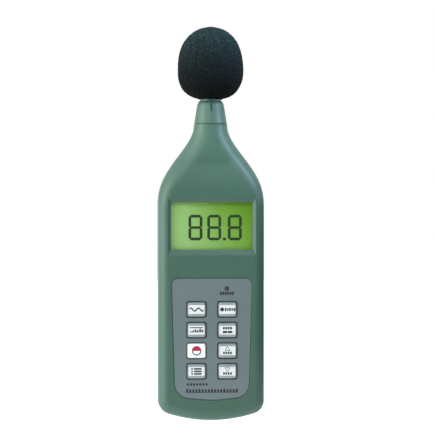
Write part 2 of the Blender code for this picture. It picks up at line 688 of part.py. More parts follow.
def make_display():
    """Window, glass, reflector, contact strips and the frame that holds them on the board."""
    def plate(name, width, height, y_front, thickness, colour, roughness):
        outline = rounded_rectangle(width, height, 0.5 * MM, z=THROAT_MIDDLE)
        return solid(name, prism(outline, y_front, y_front + thickness), colour, roughness)

    plate("lcd_window", WINDOW_WIDTH, WINDOW_HEIGHT, WINDOW_FRONT, WINDOW_THICKNESS,
          (0.80, 0.85, 0.80), 0.05)
    plate("lcd_glass", WINDOW_WIDTH, WINDOW_HEIGHT, GLASS_FRONT, GLASS_THICKNESS,
          (0.26, 0.50, 0.12), 0.2)
    strip_outer = WINDOW_HEIGHT / 2 - FIT
    strip_inner = strip_outer - CONTACT_STRIP_HEIGHT
    plate("lcd_reflector", WINDOW_WIDTH - 2 * FIT, 2 * (strip_inner - FIT), REFLECTOR_FRONT,
          REFLECTOR_THICKNESS, (0.8, 0.82, 0.8), 0.4)
    for name, side in (("lcd_contact_lower", -1), ("lcd_contact_upper", 1)):
        low, high = sorted((side * strip_inner, side * strip_outer))
        half = WINDOW_WIDTH / 2 - FIT
        solid(name, box((-half, REFLECTOR_FRONT, THROAT_MIDDLE + low),
                        (half, BOARD_FRONT - FIT, THROAT_MIDDLE + high)), (0.75, 0.4, 0.4), 0.7)
    inner_width = WINDOW_WIDTH + 2 * FIT
    inner_height = WINDOW_HEIGHT + 2 * FIT
    depth = BOARD_FRONT - FIT - GLASS_FRONT
    holder = plate("lcd_holder", inner_width + 2 * HOLDER_WALL, inner_height + 2 * HOLDER_WALL,
                   GLASS_FRONT, depth, (0.04, 0.04, 0.04), 0.5)
    hole = rounded_rectangle(inner_width, inner_height, 0.5 * MM, z=THROAT_MIDDLE)
    shape_with(holder, "DIFFERENCE", "holder_tool",
               prism(hole, GLASS_FRONT - MM, GLASS_FRONT + depth + MM))


# ---------------------------------------------------------------- electronics

def make_boards():
    """Main board with its chip, trimmer and header, the keypad mat and the preamplifier board."""
    half = SIDE_INSIDE - BOARD_MARGIN
    top_half = BOARD_TOP_WIDTH / 2
    outline = rounded_outline((
        (half, BOARD_BOTTOM, 1.5 * MM), (half, BOARD_SHOULDER, 1.5 * MM),
        (top_half, BOARD_TOP, 1.5 * MM), (-top_half, BOARD_TOP, 1.5 * MM),
        (-half, BOARD_SHOULDER, 1.5 * MM), (-half, BOARD_BOTTOM, 1.5 * MM)), steps=2)
    board = solid("main_board", prism(outline, BOARD_FRONT, BOARD_BACK), (0.02, 0.13, 0.05), 0.4)
    holes = [round_bar(place, BOSS_RADIUS + FIT, BOARD_FRONT - MM, BOARD_BACK + MM)
             for place in screw_places()]
    shape_with(board, "DIFFERENCE", "board_hole_tool", joined(holes))

    mat_back = BOARD_FRONT - FIT
    mat_front = mat_back - MAT_THICKNESS
    mat_half = KEY_PITCH_X / 2 + KEY_WIDTH / 2 + MAT_MARGIN
    mat_low = KEY_TOP_ROW - 3 * KEY_PITCH_Z - KEY_HEIGHT / 2 - MAT_MARGIN
    mat_high = KEY_TOP_ROW + KEY_HEIGHT / 2 + MAT_MARGIN
    mat = solid("keypad_mat", box((-mat_half, mat_front, mat_low), (mat_half, mat_back, mat_high)),
                (0.55, 0.55, 0.52), 0.7)
    wells = [round_bar((x, z), PLUNGER_RADIUS + 2.5 * FIT, mat_front - MM, mat_back + MM)
             for _, x, z in key_places()]
    shape_with(mat, "DIFFERENCE", "mat_well_tool", joined(wells))

    part_front = BOARD_BACK + FIT
    solid("processor_chip",
          box((-CHIP_SIZE / 2, part_front, CHIP_HEIGHT - CHIP_SIZE / 2),
              (CHIP_SIZE / 2, part_front + CHIP_THICKNESS, CHIP_HEIGHT + CHIP_SIZE / 2)),
          (0.02, 0.02, 0.02), 0.4)
    trimmer_x, trimmer_z = TRIMMER_PLACE
    trimmer_half = TRIMMER_SIZE / 2
    trimmer_screw = ((0.0, 0.0), (trimmer_half * 0.6, 0.0), (trimmer_half * 0.6, 2 * MM),
                     (0.0, 2 * MM))
    trimmer_back = part_front + TRIMMER_DEPTH
    trimmer = solid("gain_trimmer",
                    box((trimmer_x - trimmer_half, part_front, trimmer_z - trimmer_half),
                        (trimmer_x + trimmer_half, trimmer_back, trimmer_z + trimmer_half)),
                    (0.03, 0.10, 0.35), 0.4)
    shape_with(trimmer, "DIFFERENCE", "trimmer_tool",
               turned(trimmer_screw, (trimmer_x, trimmer_back - 0.6 * MM, trimmer_z), "Y", 16))
    for number, (x, z) in enumerate(CAPACITOR_PLACES, start=1):
        can = ((0.0, part_front), (CAPACITOR_RADIUS, part_front),
               (CAPACITOR_RADIUS, part_front + CAPACITOR_LENGTH - 0.4 * MM),
               (CAPACITOR_RADIUS - 0.4 * MM, part_front + CAPACITOR_LENGTH),
               (0.0, part_front + CAPACITOR_LENGTH))
        solid(f"capacitor_{number}", turned(can, (x, 0, z), "Y", 16), (0.05, 0.06, 0.12), 0.35)
    crystal_width, crystal_depth, crystal_height = CRYSTAL_SIZE
    crystal = rounded_rectangle(crystal_width, crystal_height, crystal_height * 0.45,
                                z=CRYSTAL_HEIGHT)
    solid("quartz_crystal", prism(crystal, part_front, part_front + crystal_depth),
          (0.7, 0.7, 0.7), 0.25, 1.0)
    preamp_half = SLEEVE_BORE - PREAMP_MARGIN
    header_back = -PREAMP_THICKNESS / 2 - FIT
    solid("board_header", box((-preamp_half, part_front, PREAMP_BOTTOM + MM),
                              (preamp_half, header_back, PREAMP_BOTTOM + 6 * MM)),
          (0.03, 0.03, 0.03), 0.4)
    solid("preamp_board", box((-preamp_half, -PREAMP_THICKNESS / 2, PREAMP_BOTTOM),
                              (preamp_half, PREAMP_THICKNESS / 2, PREAMP_TOP)),
          (0.02, 0.13, 0.05), 0.4)


def make_battery_bay():
    """Open tray, four cells that lie head to tail, and a spring and a contact for each."""
    outer = BAY_HALF_WIDTH + BAY_FLOOR
    tray = solid("battery_tray", box((-outer, TRAY_FLOOR - BAY_FLOOR, BAY_BOTTOM - BAY_FLOOR),
                                     (outer, RAIL_FRONT - FIT, BAY_TOP + BAY_FLOOR)),
                 (0.05, 0.06, 0.055), 0.5)
    shape_with(tray, "DIFFERENCE", "tray_tool",
               box((-BAY_HALF_WIDTH, TRAY_FLOOR, BAY_BOTTOM), (BAY_HALF_WIDTH, BACK, BAY_TOP)))
    for index in range(CELL_COUNT):
        x = (index - (CELL_COUNT - 1) / 2) * CELL_PITCH
        upright = 1 if index % 2 == 0 else -1
        end = BAY_BOTTOM if upright == 1 else BAY_TOP
        spring_low = min(end + upright * FIT, end + upright * (FIT + SPRING_LENGTH))
        cell_start = end + upright * (2 * FIT + SPRING_LENGTH)
        shoulder = CELL_LENGTH - CELL_NUB_LENGTH
        profile = ((0.0, 0.0), (CELL_RADIUS - 0.5 * MM, 0.0), (CELL_RADIUS, 0.5 * MM),
                   (CELL_RADIUS, shoulder - 0.5 * MM), (CELL_RADIUS - 0.5 * MM, shoulder),
                   (CELL_NUB_RADIUS, shoulder), (CELL_NUB_RADIUS, CELL_LENGTH), (0.0, CELL_LENGTH))
        placed = [(radius, cell_start + upright * height) for radius, height in profile]
        number = index + 1
        solid(f"battery_{number}", turned(placed, (x, CELL_AXIS, 0), "Z", 20),
              (0.05, 0.12, 0.30), 0.35, 0.3)
        solid(f"battery_spring_{number}",
              coil((x, CELL_AXIS, spring_low), SPRING_RADIUS, SPRING_WIRE, SPRING_LENGTH,
                   SPRING_TURNS), (0.7, 0.7, 0.7), 0.25, 1.0)
        contact = cell_start + upright * (CELL_LENGTH + FIT)
        low, high = sorted((contact, contact + upright * CONTACT_THICKNESS))
        solid(f"battery_contact_{number}",
              box((x - 3.5 * MM, CELL_AXIS - 3.5 * MM, low),
                  (x + 3.5 * MM, CELL_AXIS + 3.5 * MM, high)), (0.7, 0.7, 0.7), 0.25, 1.0)


# ---------------------------------------------------------------- microphone

def make_collar():
    """Tapered collar with a rounded shoulder, a spigot in the neck and a slot at the front."""
    bore = MIC_RADIUS + FIT
    base = NECK_RADIUS - 0.2 * MM
    top = MIC_RADIUS + 0.5 * MM
    rise = COLLAR_HEIGHT
    profile = (
        (bore, COLLAR_BASE - SPIGOT_LENGTH), (NECK_BORE - FIT, COLLAR_BASE - SPIGOT_LENGTH),
        (NECK_BORE - FIT, COLLAR_BASE), (base - 0.3 * MM, COLLAR_BASE),
        (base, COLLAR_BASE + 0.3 * MM), (base - 0.35 * MM, COLLAR_BASE + 0.2 * rise),
        (base - 0.8 * MM, COLLAR_BASE + 0.4 * rise), (base - 1.15 * MM, COLLAR_BASE + 0.55 * rise),
        (base - 1.5 * MM, COLLAR_BASE + 0.72 * rise), (base - 1.85 * MM, COLLAR_BASE + 0.84 * rise),
        (base - 2.3 * MM, COLLAR_BASE + 0.93 * rise), (top, COLLAR_TOP), (bore, COLLAR_TOP))
    collar = solid("mic_collar", turned(profile, segments=32, ring=True), (0.10, 0.17, 0.145), 0.45)
    mid_radius = base - 1.4 * MM
    half = COLLAR_SLOT_WIDTH / 2
    slot = box((-half, -mid_radius - 3 * MM, COLLAR_TOP - COLLAR_SLOT_LENGTH),
               (half, -mid_radius + COLLAR_SLOT_DEPTH, COLLAR_TOP + MM))
    shape_with(collar, "DIFFERENCE", "collar_slot_tool", slot)


def make_microphone():
    """Plastic sleeve, metal barrel, electret capsule and the pierced grid on top."""
    profile = ((SLEEVE_BORE, SLEEVE_BOTTOM), (MIC_RADIUS, SLEEVE_BOTTOM),
               (MIC_RADIUS, SLEEVE_TOP), (SLEEVE_BORE, SLEEVE_TOP))
    solid("mic_sleeve", turned(profile, segments=24, ring=True), (0.09, 0.22, 0.15), 0.45)
    spigot = SLEEVE_BORE - FIT
    barrel_bore = MIC_RADIUS - MIC_WALL
    profile = ((spigot - MIC_WALL, BARREL_BOTTOM - BARREL_SPIGOT),
               (spigot, BARREL_BOTTOM - BARREL_SPIGOT), (spigot, BARREL_BOTTOM),
               (MIC_RADIUS, BARREL_BOTTOM), (MIC_RADIUS, BARREL_TOP), (barrel_bore, BARREL_TOP),
               (barrel_bore, BARREL_BOTTOM + MIC_WALL), (spigot - MIC_WALL, BARREL_BOTTOM + MIC_WALL))
    solid("mic_barrel", turned(profile, segments=24, ring=True), (0.6, 0.6, 0.6), 0.3, 1.0)
    capsule_top = BARREL_TOP - 0.5 * MM
    capsule_radius = barrel_bore - FIT
    profile = ((0.0, capsule_top - CAPSULE_LENGTH), (capsule_radius, capsule_top - CAPSULE_LENGTH),
               (capsule_radius, capsule_top), (capsule_radius * 0.6, capsule_top),
               (capsule_radius * 0.6, capsule_top - 0.4 * MM), (0.0, capsule_top - 0.4 * MM))
    solid("mic_capsule", turned(profile, segments=24), (0.65, 0.65, 0.62), 0.3, 1.0)
    bottom = BARREL_TOP + FIT
    profile = ((MIC_RADIUS, bottom), (MIC_RADIUS, GRID_TOP - 0.5 * MM),
               (MIC_RADIUS - 0.5 * MM, GRID_TOP), (0.0, GRID_TOP), (0.0, GRID_TOP - MIC_WALL),
               (barrel_bore, GRID_TOP - MIC_WALL), (barrel_bore, bottom))
    grid = solid("mic_grid", turned(profile, segments=24, ring=True), (0.6, 0.6, 0.6), 0.3, 1.0)
    holes = []
    for count, radius in ((1, 0.0), (6, 0.42 * MIC_RADIUS)):
        for step in range(count):
            angle = 2 * math.pi * step / count
            place = (radius * math.cos(angle), radius * math.sin(angle), GRID_TOP)
            outline = ((0.0, -2 * MM), (0.7 * MM, -2 * MM), (0.7 * MM, MM), (0.0, MM))
            holes.append(turned(outline, place, segments=8))
    shape_with(grid, "DIFFERENCE", "grid_hole_tool", joined(holes))


def make_windscreen():
    """Foam windscreen: an egg of revolution, widest below the middle, bored for the microphone."""
    bore = MIC_RADIUS + FIT
    steps = 18
    # Fullness of the foot and of the crown: exponents of a superellipse in height.
    foot_power = 2.75
    crown_power = 2.15
    widest = FOAM_BOTTOM + 0.44 * WINDSCREEN_HEIGHT
    top = FOAM_BOTTOM + WINDSCREEN_HEIGHT
    profile = []
    for step in range(steps + 1):
        angle = -math.pi / 2 + math.pi * step / steps
        share = abs(math.sin(angle))
        if angle < 0:
            power = foot_power
            height = widest - (widest - FOAM_BOTTOM) * share
        else:
            power = crown_power
            height = widest + (top - widest) * share
        radius = WINDSCREEN_RADIUS * max(1 - share ** power, 0.0) ** (1 / power)
        profile.append((radius, height))
    mouth = bore + 0.6 * MM
    skin = [(radius, height) for radius, height in profile if height > widest or radius > mouth]
    roof = GRID_TOP + 2 * FIT
    inside = [(0.0, roof), (bore, roof), (bore, FOAM_BOTTOM + 0.6 * MM), (mouth, FOAM_BOTTOM)]
    solid("windscreen", turned(inside + skin, segments=36), (0.015, 0.022, 0.024), 0.95,
          origin=(0, 0, FOAM_BOTTOM))


def main():
    """Clear the scene and model every sub-part."""
    for old in list(bpy.data.objects):
        bpy.data.objects.remove(old, do_unlink=True)
    make_front_shell()
    make_rear_shell()
    make_battery_cover()
    make_case_screws()
    make_tripod_insert()
    make_output_jack()
    make_keypad_overlay()
    make_keys()
    make_status_led()
    make_display()
    make_boards()
    make_battery_bay()
    make_collar()
    make_microphone()
    make_windscreen()


main()
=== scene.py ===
"""Looks of a hand-held sound level meter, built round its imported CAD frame.

Metres, +Z up along the length, front towards -Y and +X to the right seen from the front. The
origin is the middle of the bottom edge, on the microphone's axis and on the parting plane.
"""

import logging
import math
from collections.abc import Callable, Iterable, Sequence
from dataclasses import dataclass, field
from enum import Enum

import bmesh
import bpy
import numpy as np
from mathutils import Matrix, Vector


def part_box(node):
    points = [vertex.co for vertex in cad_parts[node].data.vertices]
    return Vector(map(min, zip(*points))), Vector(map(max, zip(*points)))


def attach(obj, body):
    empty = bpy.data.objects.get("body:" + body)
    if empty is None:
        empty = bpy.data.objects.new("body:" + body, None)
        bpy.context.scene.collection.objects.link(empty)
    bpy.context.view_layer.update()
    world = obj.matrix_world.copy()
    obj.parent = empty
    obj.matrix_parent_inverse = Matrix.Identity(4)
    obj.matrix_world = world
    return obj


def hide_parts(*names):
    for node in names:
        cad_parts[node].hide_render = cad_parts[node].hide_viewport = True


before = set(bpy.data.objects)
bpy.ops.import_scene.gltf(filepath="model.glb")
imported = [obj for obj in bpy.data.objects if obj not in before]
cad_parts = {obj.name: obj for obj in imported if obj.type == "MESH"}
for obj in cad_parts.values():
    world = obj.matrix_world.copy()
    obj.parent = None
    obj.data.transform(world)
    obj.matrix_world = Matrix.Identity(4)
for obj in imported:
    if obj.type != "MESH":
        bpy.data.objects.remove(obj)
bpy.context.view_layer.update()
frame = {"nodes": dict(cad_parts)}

LOG = logging.getLogger("sound_level_meter")
MM = 0.001
FILM = 0.03 * MM   # how far ink stands up from its face
SINK = 0.01 * MM   # how far ink goes into its face


# ---------------------------------------------------------------- shapes

@dataclass
class Shape:
    """Points in metres, and the faces over them as lists of point numbers."""

    points: np.ndarray
    faces: list[list[int]]

    def __add__(self, other: "Shape") -> "Shape":
        """Both shapes side by side as one."""
        shifted = [[number + len(self.points) for number in face] for face in other.faces]
        return Shape(np.concatenate((self.points, other.points)), self.faces + shifted)

    def raised(self) -> "Shape":
        """The shape with Y and Z exchanged, so that what ran along Y stands up."""
        return Shape(self.points[:, [0, 2, 1]], self.faces)


def joined(shapes: Iterable[Shape]) -> Shape:
    """Several shapes as one.

    Args:
        shapes: At least one shape.

    Returns:
        One shape that holds them all, in order.
    """
    first, *rest = shapes
    for shape in rest:
        first = first + shape
    return first


def sheet(points: np.ndarray, wrap_rows: bool = False, wrap_columns: bool = False) -> Shape:
    """Quads over a grid of points: each joins a point to the next column and the next row.

    Args:
        points: Array of rows by columns by 3.
        wrap_rows: Whether the last row joins the first.
        wrap_columns: Whether the last column joins the first.

    Returns:
        The grid as a shape, with no caps.
    """
    rows, columns = points.shape[:2]
    row = np.arange(rows if wrap_rows else rows - 1)[:, None]
    column = np.arange(columns if wrap_columns else columns - 1)[None, :]
    below = (row + 1) % rows
    beside = (column + 1) % columns
    quads = np.stack((row * columns + column, row * columns + beside,
                      below * columns + beside, below * columns + column), axis=-1)
    return Shape(points.reshape(-1, 3), quads.reshape(-1, 4).tolist())


def capped(rows: np.ndarray) -> Shape:
    """A closed solid over rings of points, with its first and last ring capped flat.

    Args:
        rows: Array of rings by points by 3.

    Returns:
        The solid.
    """
    shape = sheet(rows, wrap_columns=True)
    count = rows.shape[1]
    last = len(shape.points) - count
    shape.faces += [list(range(count)), list(range(last + count - 1, last - 1, -1))]
    return shape


def at_depth(outline: np.ndarray, depth: float) -> np.ndarray:
    """The (x, z) points of an outline as (x, y, z), all at the same y."""
    return np.column_stack((outline[:, 0], np.full(len(outline), depth), outline[:, 1]))


def lofted(outlines: Sequence[np.ndarray], depths: Sequence[float]) -> Shape:
    """A closed solid through outlines that lie across Y.

    Args:
        outlines: Arrays of (x, z) points, all with the same count.
        depths: The y of each outline.

    Returns:
        The solid.
    """
    return capped(np.array([at_depth(*row) for row in zip(outlines, depths)]))


def prism(outline: np.ndarray, start: float, end: float) -> Shape:
    """A closed solid that has the same outline all the way from one y to another."""
    return lofted((outline, outline), (start, end))


class Axis(Enum):
    """An axis to turn about, with the numbers of the two axes across it and its own."""

    X = (1, 2, 0)
    Y = (0, 2, 1)
    Z = (0, 1, 2)


def turned(profile: Sequence[tuple[float, float]], centre: Sequence[float] = (0.0, 0.0, 0.0),
           axis: Axis = Axis.Z, steps: int = 96, ring: bool = False) -> Shape:
    """A profile of (radius, height) points turned about an axis.

    Each point is the centre plus radius times the spoke at the angle, plus height along the axis.

    Args:
        profile: Points of the profile; it starts and ends on the axis unless it is a ring.
        centre: Where height 0 lies.
        axis: The axis.
        steps: Points round the circle.
        ring: Whether the profile is closed and keeps clear of the axis.

    Returns:
        The turned solid.
    """
    radius, height = np.array(profile, float).T
    angle = np.linspace(0.0, 2 * math.pi, steps, endpoint=False)
    across, upward, along = axis.value
    points = np.zeros((len(radius), steps, 3))
    points[..., across] = radius[:, None] * np.cos(angle)
    points[..., upward] = radius[:, None] * np.sin(angle)
    points[..., along] = height[:, None]
    return sheet(points + np.array(centre), wrap_rows=ring, wrap_columns=True)


def block(low: Sequence[float], high: Sequence[float]) -> Shape:
    """A plain block between two corners, for cutting tools."""
    corners = np.array([(low[0], low[2]), (high[0], low[2]), (high[0], high[2]), (low[0], high[2])])
    return prism(corners, low[1], high[1])


def arc(centre: Sequence[float], radius: float, start: float, end: float,
        steps: int = 12) -> np.ndarray:
    """Points of a circle between two angles.

    Args:
        centre: (x, z) of the circle.
        radius: Radius of the circle.
        start: First angle in degrees, anticlockwise from +X.
        end: Last angle in degrees.
        steps: How many points, both ends included.

    Returns:
        Array of (x, z) points.
    """
    angle = np.radians(np.linspace(start, end, steps))
    return np.column_stack((centre[0] + radius * np.cos(angle), centre[1] + radius * np.sin(angle)))


def circle(centre: Sequence[float], radius: float, steps: int = 48) -> np.ndarray:
    """Outline of a whole circle as (x, z) points, from +X anticlockwise."""
    return arc(centre, radius, 0.0, 360.0 - 360.0 / steps, steps)


def rounded_outline(corners: Sequence[tuple[float, float, float]], steps: int = 8) -> np.ndarray:
    """A polygon with each corner as an arc that is tangent to both of its sides.

    Args:
        corners: (x, z, radius) of each corner, anticlockwise.
        steps: Steps in each arc.

    Returns:
        Array of (x, z) points.
    """
    places = np.array([corner[:2] for corner in corners])
    arcs = []
    for index, (_, _, radius) in enumerate(corners):
        corner = places[index]
        before = places[index - 1] - corner
        after = places[(index + 1) % len(corners)] - corner
        before /= np.linalg.norm(before)
        after /= np.linalg.norm(after)
        half_angle = math.acos(np.clip(before @ after, -1.0, 1.0)) / 2
        middle = before + after
        middle *= radius / math.sin(half_angle) / np.linalg.norm(middle)
        start = before * radius / math.tan(half_angle) - middle
        turn = (math.pi - 2 * half_angle) * np.linspace(0.0, 1.0, steps + 1)
        cosine = np.cos(turn)
        sine = np.sin(turn)
        arcs.append(corner + middle + np.column_stack((start[0] * cosine - start[1] * sine,
                                                       start[1] * cosine + start[0] * sine)))
    return np.concatenate(arcs)


def rounded_rectangle(width: float, height: float, radius: float, x: float = 0.0, z: float = 0.0,
                      steps: int = 8) -> np.ndarray:
    """Outline of a rectangle with round corners, about (x, z)."""
    signs = ((1, -1), (1, 1), (-1, 1), (-1, -1))
    return rounded_outline([(x + across * width / 2, z + up * height / 2, radius)
                            for across, up in signs], steps)


def opening_tool(outline: Callable[[float], np.ndarray], face: float, radius: float, floor: float,
                 steps: int = 5) -> Shape:
    """A cutter that leaves the mouth of an opening with a small round edge.

    The outline grows by radius * (1 - sin a) at radius * (1 - cos a) below the face, which is a
    quarter circle tangent to the face and to the wall of the opening.

    Args:
        outline: Gives the opening's outline, grown by its argument.
        face: The y of the face that is cut.
        radius: Radius of the mouth's edge.
        floor: The y where the cutter ends.
        steps: Steps in the quarter circle.

    Returns:
        The cutter.
    """
    inward = math.copysign(1.0, floor - face)
    angle = np.radians(np.linspace(0.0, 90.0, steps + 1))
    grows = [radius, *(radius * (1 - np.sin(angle))), 0.0]
    depths = [face - inward * 2 * MM, *(face + inward * radius * (1 - np.cos(angle))), floor]
    return lofted([outline(grow) for grow in grows], depths)


# ---------------------------------------------------------------- pieces

def mesh_object(name: str, shape: Shape, **shares: np.ndarray) -> bpy.types.Object:
    """An object at the origin whose mesh is the shape, merged, closed and facing out.

    Args:
        name: Name of the object.
        shape: What it looks like.
        **shares: Attributes that a material reads, with a value for each point of the shape.

    Returns:
        The object, in the scene.
    """
    mesh = bpy.data.meshes.new(name)
    mesh.from_pydata(shape.points.tolist(), [], shape.faces)
    for label, values in shares.items():
        mesh.attributes.new(label, "FLOAT", "POINT").data.foreach_set(
            "value", values.astype(np.float32))
    edit = bmesh.new()
    edit.from_mesh(mesh)
    bmesh.ops.remove_doubles(edit, verts=edit.verts, dist=0.0005 * MM)
    bmesh.ops.dissolve_degenerate(edit, edges=edit.edges, dist=0.0005 * MM)
    bmesh.ops.recalc_face_normals(edit, faces=edit.faces)
    edit.to_mesh(mesh)
    edit.free()
    made = bpy.data.objects.new(name, mesh)
    bpy.context.scene.collection.objects.link(made)
    return made


class Carving(Enum):
    """What carve does with its tool, under the modifier's own names."""

    CUT = "DIFFERENCE"
    ADD = "UNION"
    SHARE = "INTERSECT"


def carve(target: bpy.types.Object, tool: Shape, carving: Carving = Carving.CUT) -> None:
    """Cuts a tool from the target, adds it or keeps what both share, and applies the result.

    Args:
        target: The object to change.
        tool: The closed shape to work with.
        carving: Whether the tool is cut away, added, or the target kept only where they meet.
    """
    cutter = mesh_object(target.name + "_tool", tool)
    change = target.modifiers.new("carve", "BOOLEAN")
    change.operation = carving.value
    change.solver = "EXACT"
    change.object = cutter
    graph = bpy.context.evaluated_depsgraph_get()
    mesh = bpy.data.meshes.new_from_object(target.evaluated_get(graph))
    target.modifiers.remove(change)
    spent = (cutter.data, target.data)
    target.data = mesh
    mesh.name = target.name
    bpy.data.objects.remove(cutter)
    for used in spent:
        bpy.data.meshes.remove(used)


def finish_piece(made: bpy.types.Object, look: bpy.types.Material, body: str,
                 replaces: Sequence[str] = (), crease: float = 32.0,
                 weighted: bool = True) -> None:
    """Shades a piece, gives it its material and fixes it to its CAD body.

    Args:
        made: The piece.
        look: Its material.
        body: The CAD body that it rides on.
        replaces: CAD nodes that it stands for.
        crease: Angle in degrees above which an edge stays sharp.
        weighted: Whether large flat faces keep their own normal up to their edges.
    """
    made.data.materials.clear()
    made.data.materials.append(look)
    made.data.shade_smooth()
    made.data.set_sharp_from_angle(angle=math.radians(crease))
    if weighted:
        normals = made.modifiers.new("face_weighted_normals", "WEIGHTED_NORMAL")
        normals.keep_sharp = True
        normals.weight = 80
    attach(made, body)
    if replaces:
        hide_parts(*replaces)
    LOG.info("%s: %d faces, on %s", made.name, len(made.data.polygons), body)


def dress(node: str, look: bpy.types.Material, slot: str) -> None:
    """Gives a CAD node that stays showing its procedural material.

    Args:
        node: Name of the CAD node.
        look: The material.
        slot: A material slot's name, which is not used.
    """
    made = frame["nodes"][node]
    made.data.materials.clear()
    made.data.materials.append(look)
    LOG.info("%s: dressed", node)


def box_of(node: str) -> tuple[np.ndarray, np.ndarray]:
    """Lowest and highest corner of a CAD node, as arrays."""
    low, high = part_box(node)
    return np.array(low), np.array(high)


def middle_of(node: str) -> np.ndarray:
    """Middle of a CAD node's box."""
    return sum(box_of(node)) / 2


# ---------------------------------------------------------------- material tools

def linear(colour: str, alpha: float = 1.0) -> tuple[float, float, float, float]:
    """An sRGB hex colour as linear red, green, blue and alpha.

    Args:
        colour: Six hex digits after a hash.
        alpha: The alpha to put with it.

    Returns:
        Four numbers from 0 to 1.
    """
    shares = [int(colour[start:start + 2], 16) / 255 for start in (1, 3, 5)]
    red, green, blue = [share / 12.92 if share <= 0.04045 else ((share + 0.055) / 1.055) ** 2.4
                        for share in shares]
    return red, green, blue, alpha


def add_node(tree: bpy.types.NodeTree, kind: str, inputs: dict[int | str, object] | None = None,
             **settings: object) -> bpy.types.Node:
    """Adds one node with its settings, and sets or links its inputs.

    Args:
        tree: The material's node tree.
        kind: The node's type name, after "ShaderNode".
        inputs: Value, or another node's output socket, for each input by name or number.
        **settings: Attributes of the node.

    Returns:
        The node.
    """
    node = tree.nodes.new("ShaderNode" + kind)
    for name, value in settings.items():
        setattr(node, name, value)
    for name, value in (inputs or {}).items():
        if isinstance(value, bpy.types.NodeSocket):
            tree.links.new(value, node.inputs[name])
        else:
            node.inputs[name].default_value = value
    return node


def per_metre(pattern: float) -> float:
    """Noise scale that repeats about every `pattern` metres on Object coordinates."""
    return 1.0 / pattern


# ---------------------------------------------------------------- finishes

@dataclass(frozen=True)
class Finish:
    """What every finish has: a name that says how it was made, a colour and a gloss."""

    name: str
    colour: str
    roughness: float

    def start(self, **constants: object) -> tuple[bpy.types.Material, bpy.types.NodeTree,
                                                  bpy.types.Node, bpy.types.NodeSocket]:
        """Makes the material with its plain values on the shader's own sockets.

        Args:
            **constants: Further shader inputs, with spaces written as underscores.

        Returns:
            The material, its tree, its Principled shader and the Object coordinates.
        """
        made = bpy.data.materials.new(self.name)
        made.use_nodes = True
        tree = made.node_tree
        shader = tree.nodes["Principled BSDF"]
        shader.inputs["Base Color"].default_value = linear(self.colour)
        shader.inputs["Roughness"].default_value = self.roughness
        for name, value in constants.items():
            shader.inputs[name.replace("_", " ")].default_value = value
        made.diffuse_color = linear(self.colour)
        place = add_node(tree, "TexCoord").outputs["Object"]
        return made, tree, shader, place

    def uneven(self, tree: bpy.types.NodeTree, shader: bpy.types.Node, place: bpy.types.NodeSocket,
               other: str, patch: float, gloss: float) -> None:
        """Lets the colour drift to another one and the gloss vary, both in soft patches.

        Args:
            tree: The material's node tree.
            shader: Its Principled shader.
            place: Object coordinates.
            other: The colour that the patches drift to.
            patch: Size of a patch in metres.
            gloss: How far the roughness goes up and down.
        """
        drift = add_node(tree, "TexNoise", {"Vector": place, "Scale": per_metre(patch),
                                            "Detail": 3.0})
        share = add_node(tree, "MapRange", {"Value": drift.outputs[0], "From Min": 0.3,
                                            "From Max": 0.7})
        colour = add_node(tree, "Mix", {0: share.outputs[0], 6: linear(self.colour),
                                        7: linear(other)}, data_type="RGBA")
        tree.links.new(colour.outputs[2], shader.inputs["Base Color"])
        smear = add_node(tree, "TexNoise", {"Vector": place, "Scale": per_metre(patch / 3),
                                            "Detail": 4.0})
        rough = add_node(tree, "MapRange", {"Value": smear.outputs[0], "From Min": 0.3,
                                            "From Max": 0.7, "To Min": self.roughness - gloss,
                                            "To Max": self.roughness + gloss})
        tree.links.new(rough.outputs[0], shader.inputs["Roughness"])

    def grained(self, tree: bpy.types.NodeTree, shader: bpy.types.Node,
                place: bpy.types.NodeSocket, grain: float, depth: float) -> None:
        """Raises a fine random grain on the surface.

        Args:
            tree: The material's node tree.
            shader: Its Principled shader.
            place: Object coordinates.
            grain: Width of a grain in metres.
            depth: Height of a grain in metres.
        """
        pattern = add_node(tree, "TexNoise", {"Vector": place, "Scale": per_metre(grain),
                                              "Detail": 2.0, "Roughness": 0.6})
        bump = add_node(tree, "Bump", {"Height": pattern.outputs[0], "Strength": 1.0,
                                       "Distance": depth})
        tree.links.new(bump.outputs["Normal"], shader.inputs["Normal"])


@dataclass(frozen=True)
class MouldedPlastic(Finish):
    """Injection-moulded ABS from a spark-eroded mould.

    The eye gets a satin sheen broken by a fine grain, and a colour that drifts very slightly.
    """

    other: str
    grain: float = 0.45 * MM
    depth: float = 0.006 * MM
    patch: float = 22 * MM
    gloss: float = 0.03

    def make(self) -> bpy.types.Material:
        """Builds the material."""
        made, tree, shader, place = self.start(IOR=1.53)
        self.uneven(tree, shader, place, self.other, self.patch, self.gloss)
        self.grained(tree, shader, place, self.grain, self.depth)
        return made


@dataclass(frozen=True)
class PrintedFilm(Finish):
    """Polyester film, screen-printed on its back and velvet-textured on its front.

    The eye gets an even grey-blue with a very fine tooth, as dots near the limit of sight.
    """

    other: str
    dots: float = 0.7 * MM
    tooth: float = 0.008 * MM
    patch: float = 30 * MM
    gloss: float = 0.03

    def make(self) -> bpy.types.Material:
        """Builds the material."""
        made, tree, shader, place = self.start(IOR=1.6)
        self.uneven(tree, shader, place, self.other, self.patch, self.gloss)
        # The real tooth is under 0.1 mm; it is drawn several times coarser so that it shows.
        bosses = add_node(tree, "TexVoronoi", {"Vector": place, "Scale": per_metre(self.dots),
                                               "Randomness": 0.6})
        bump = add_node(tree, "Bump", {"Height": bosses.outputs[0], "Strength": 1.0,
                                       "Distance": self.tooth})
        tree.links.new(bump.outputs["Normal"], shader.inputs["Normal"])
        return made


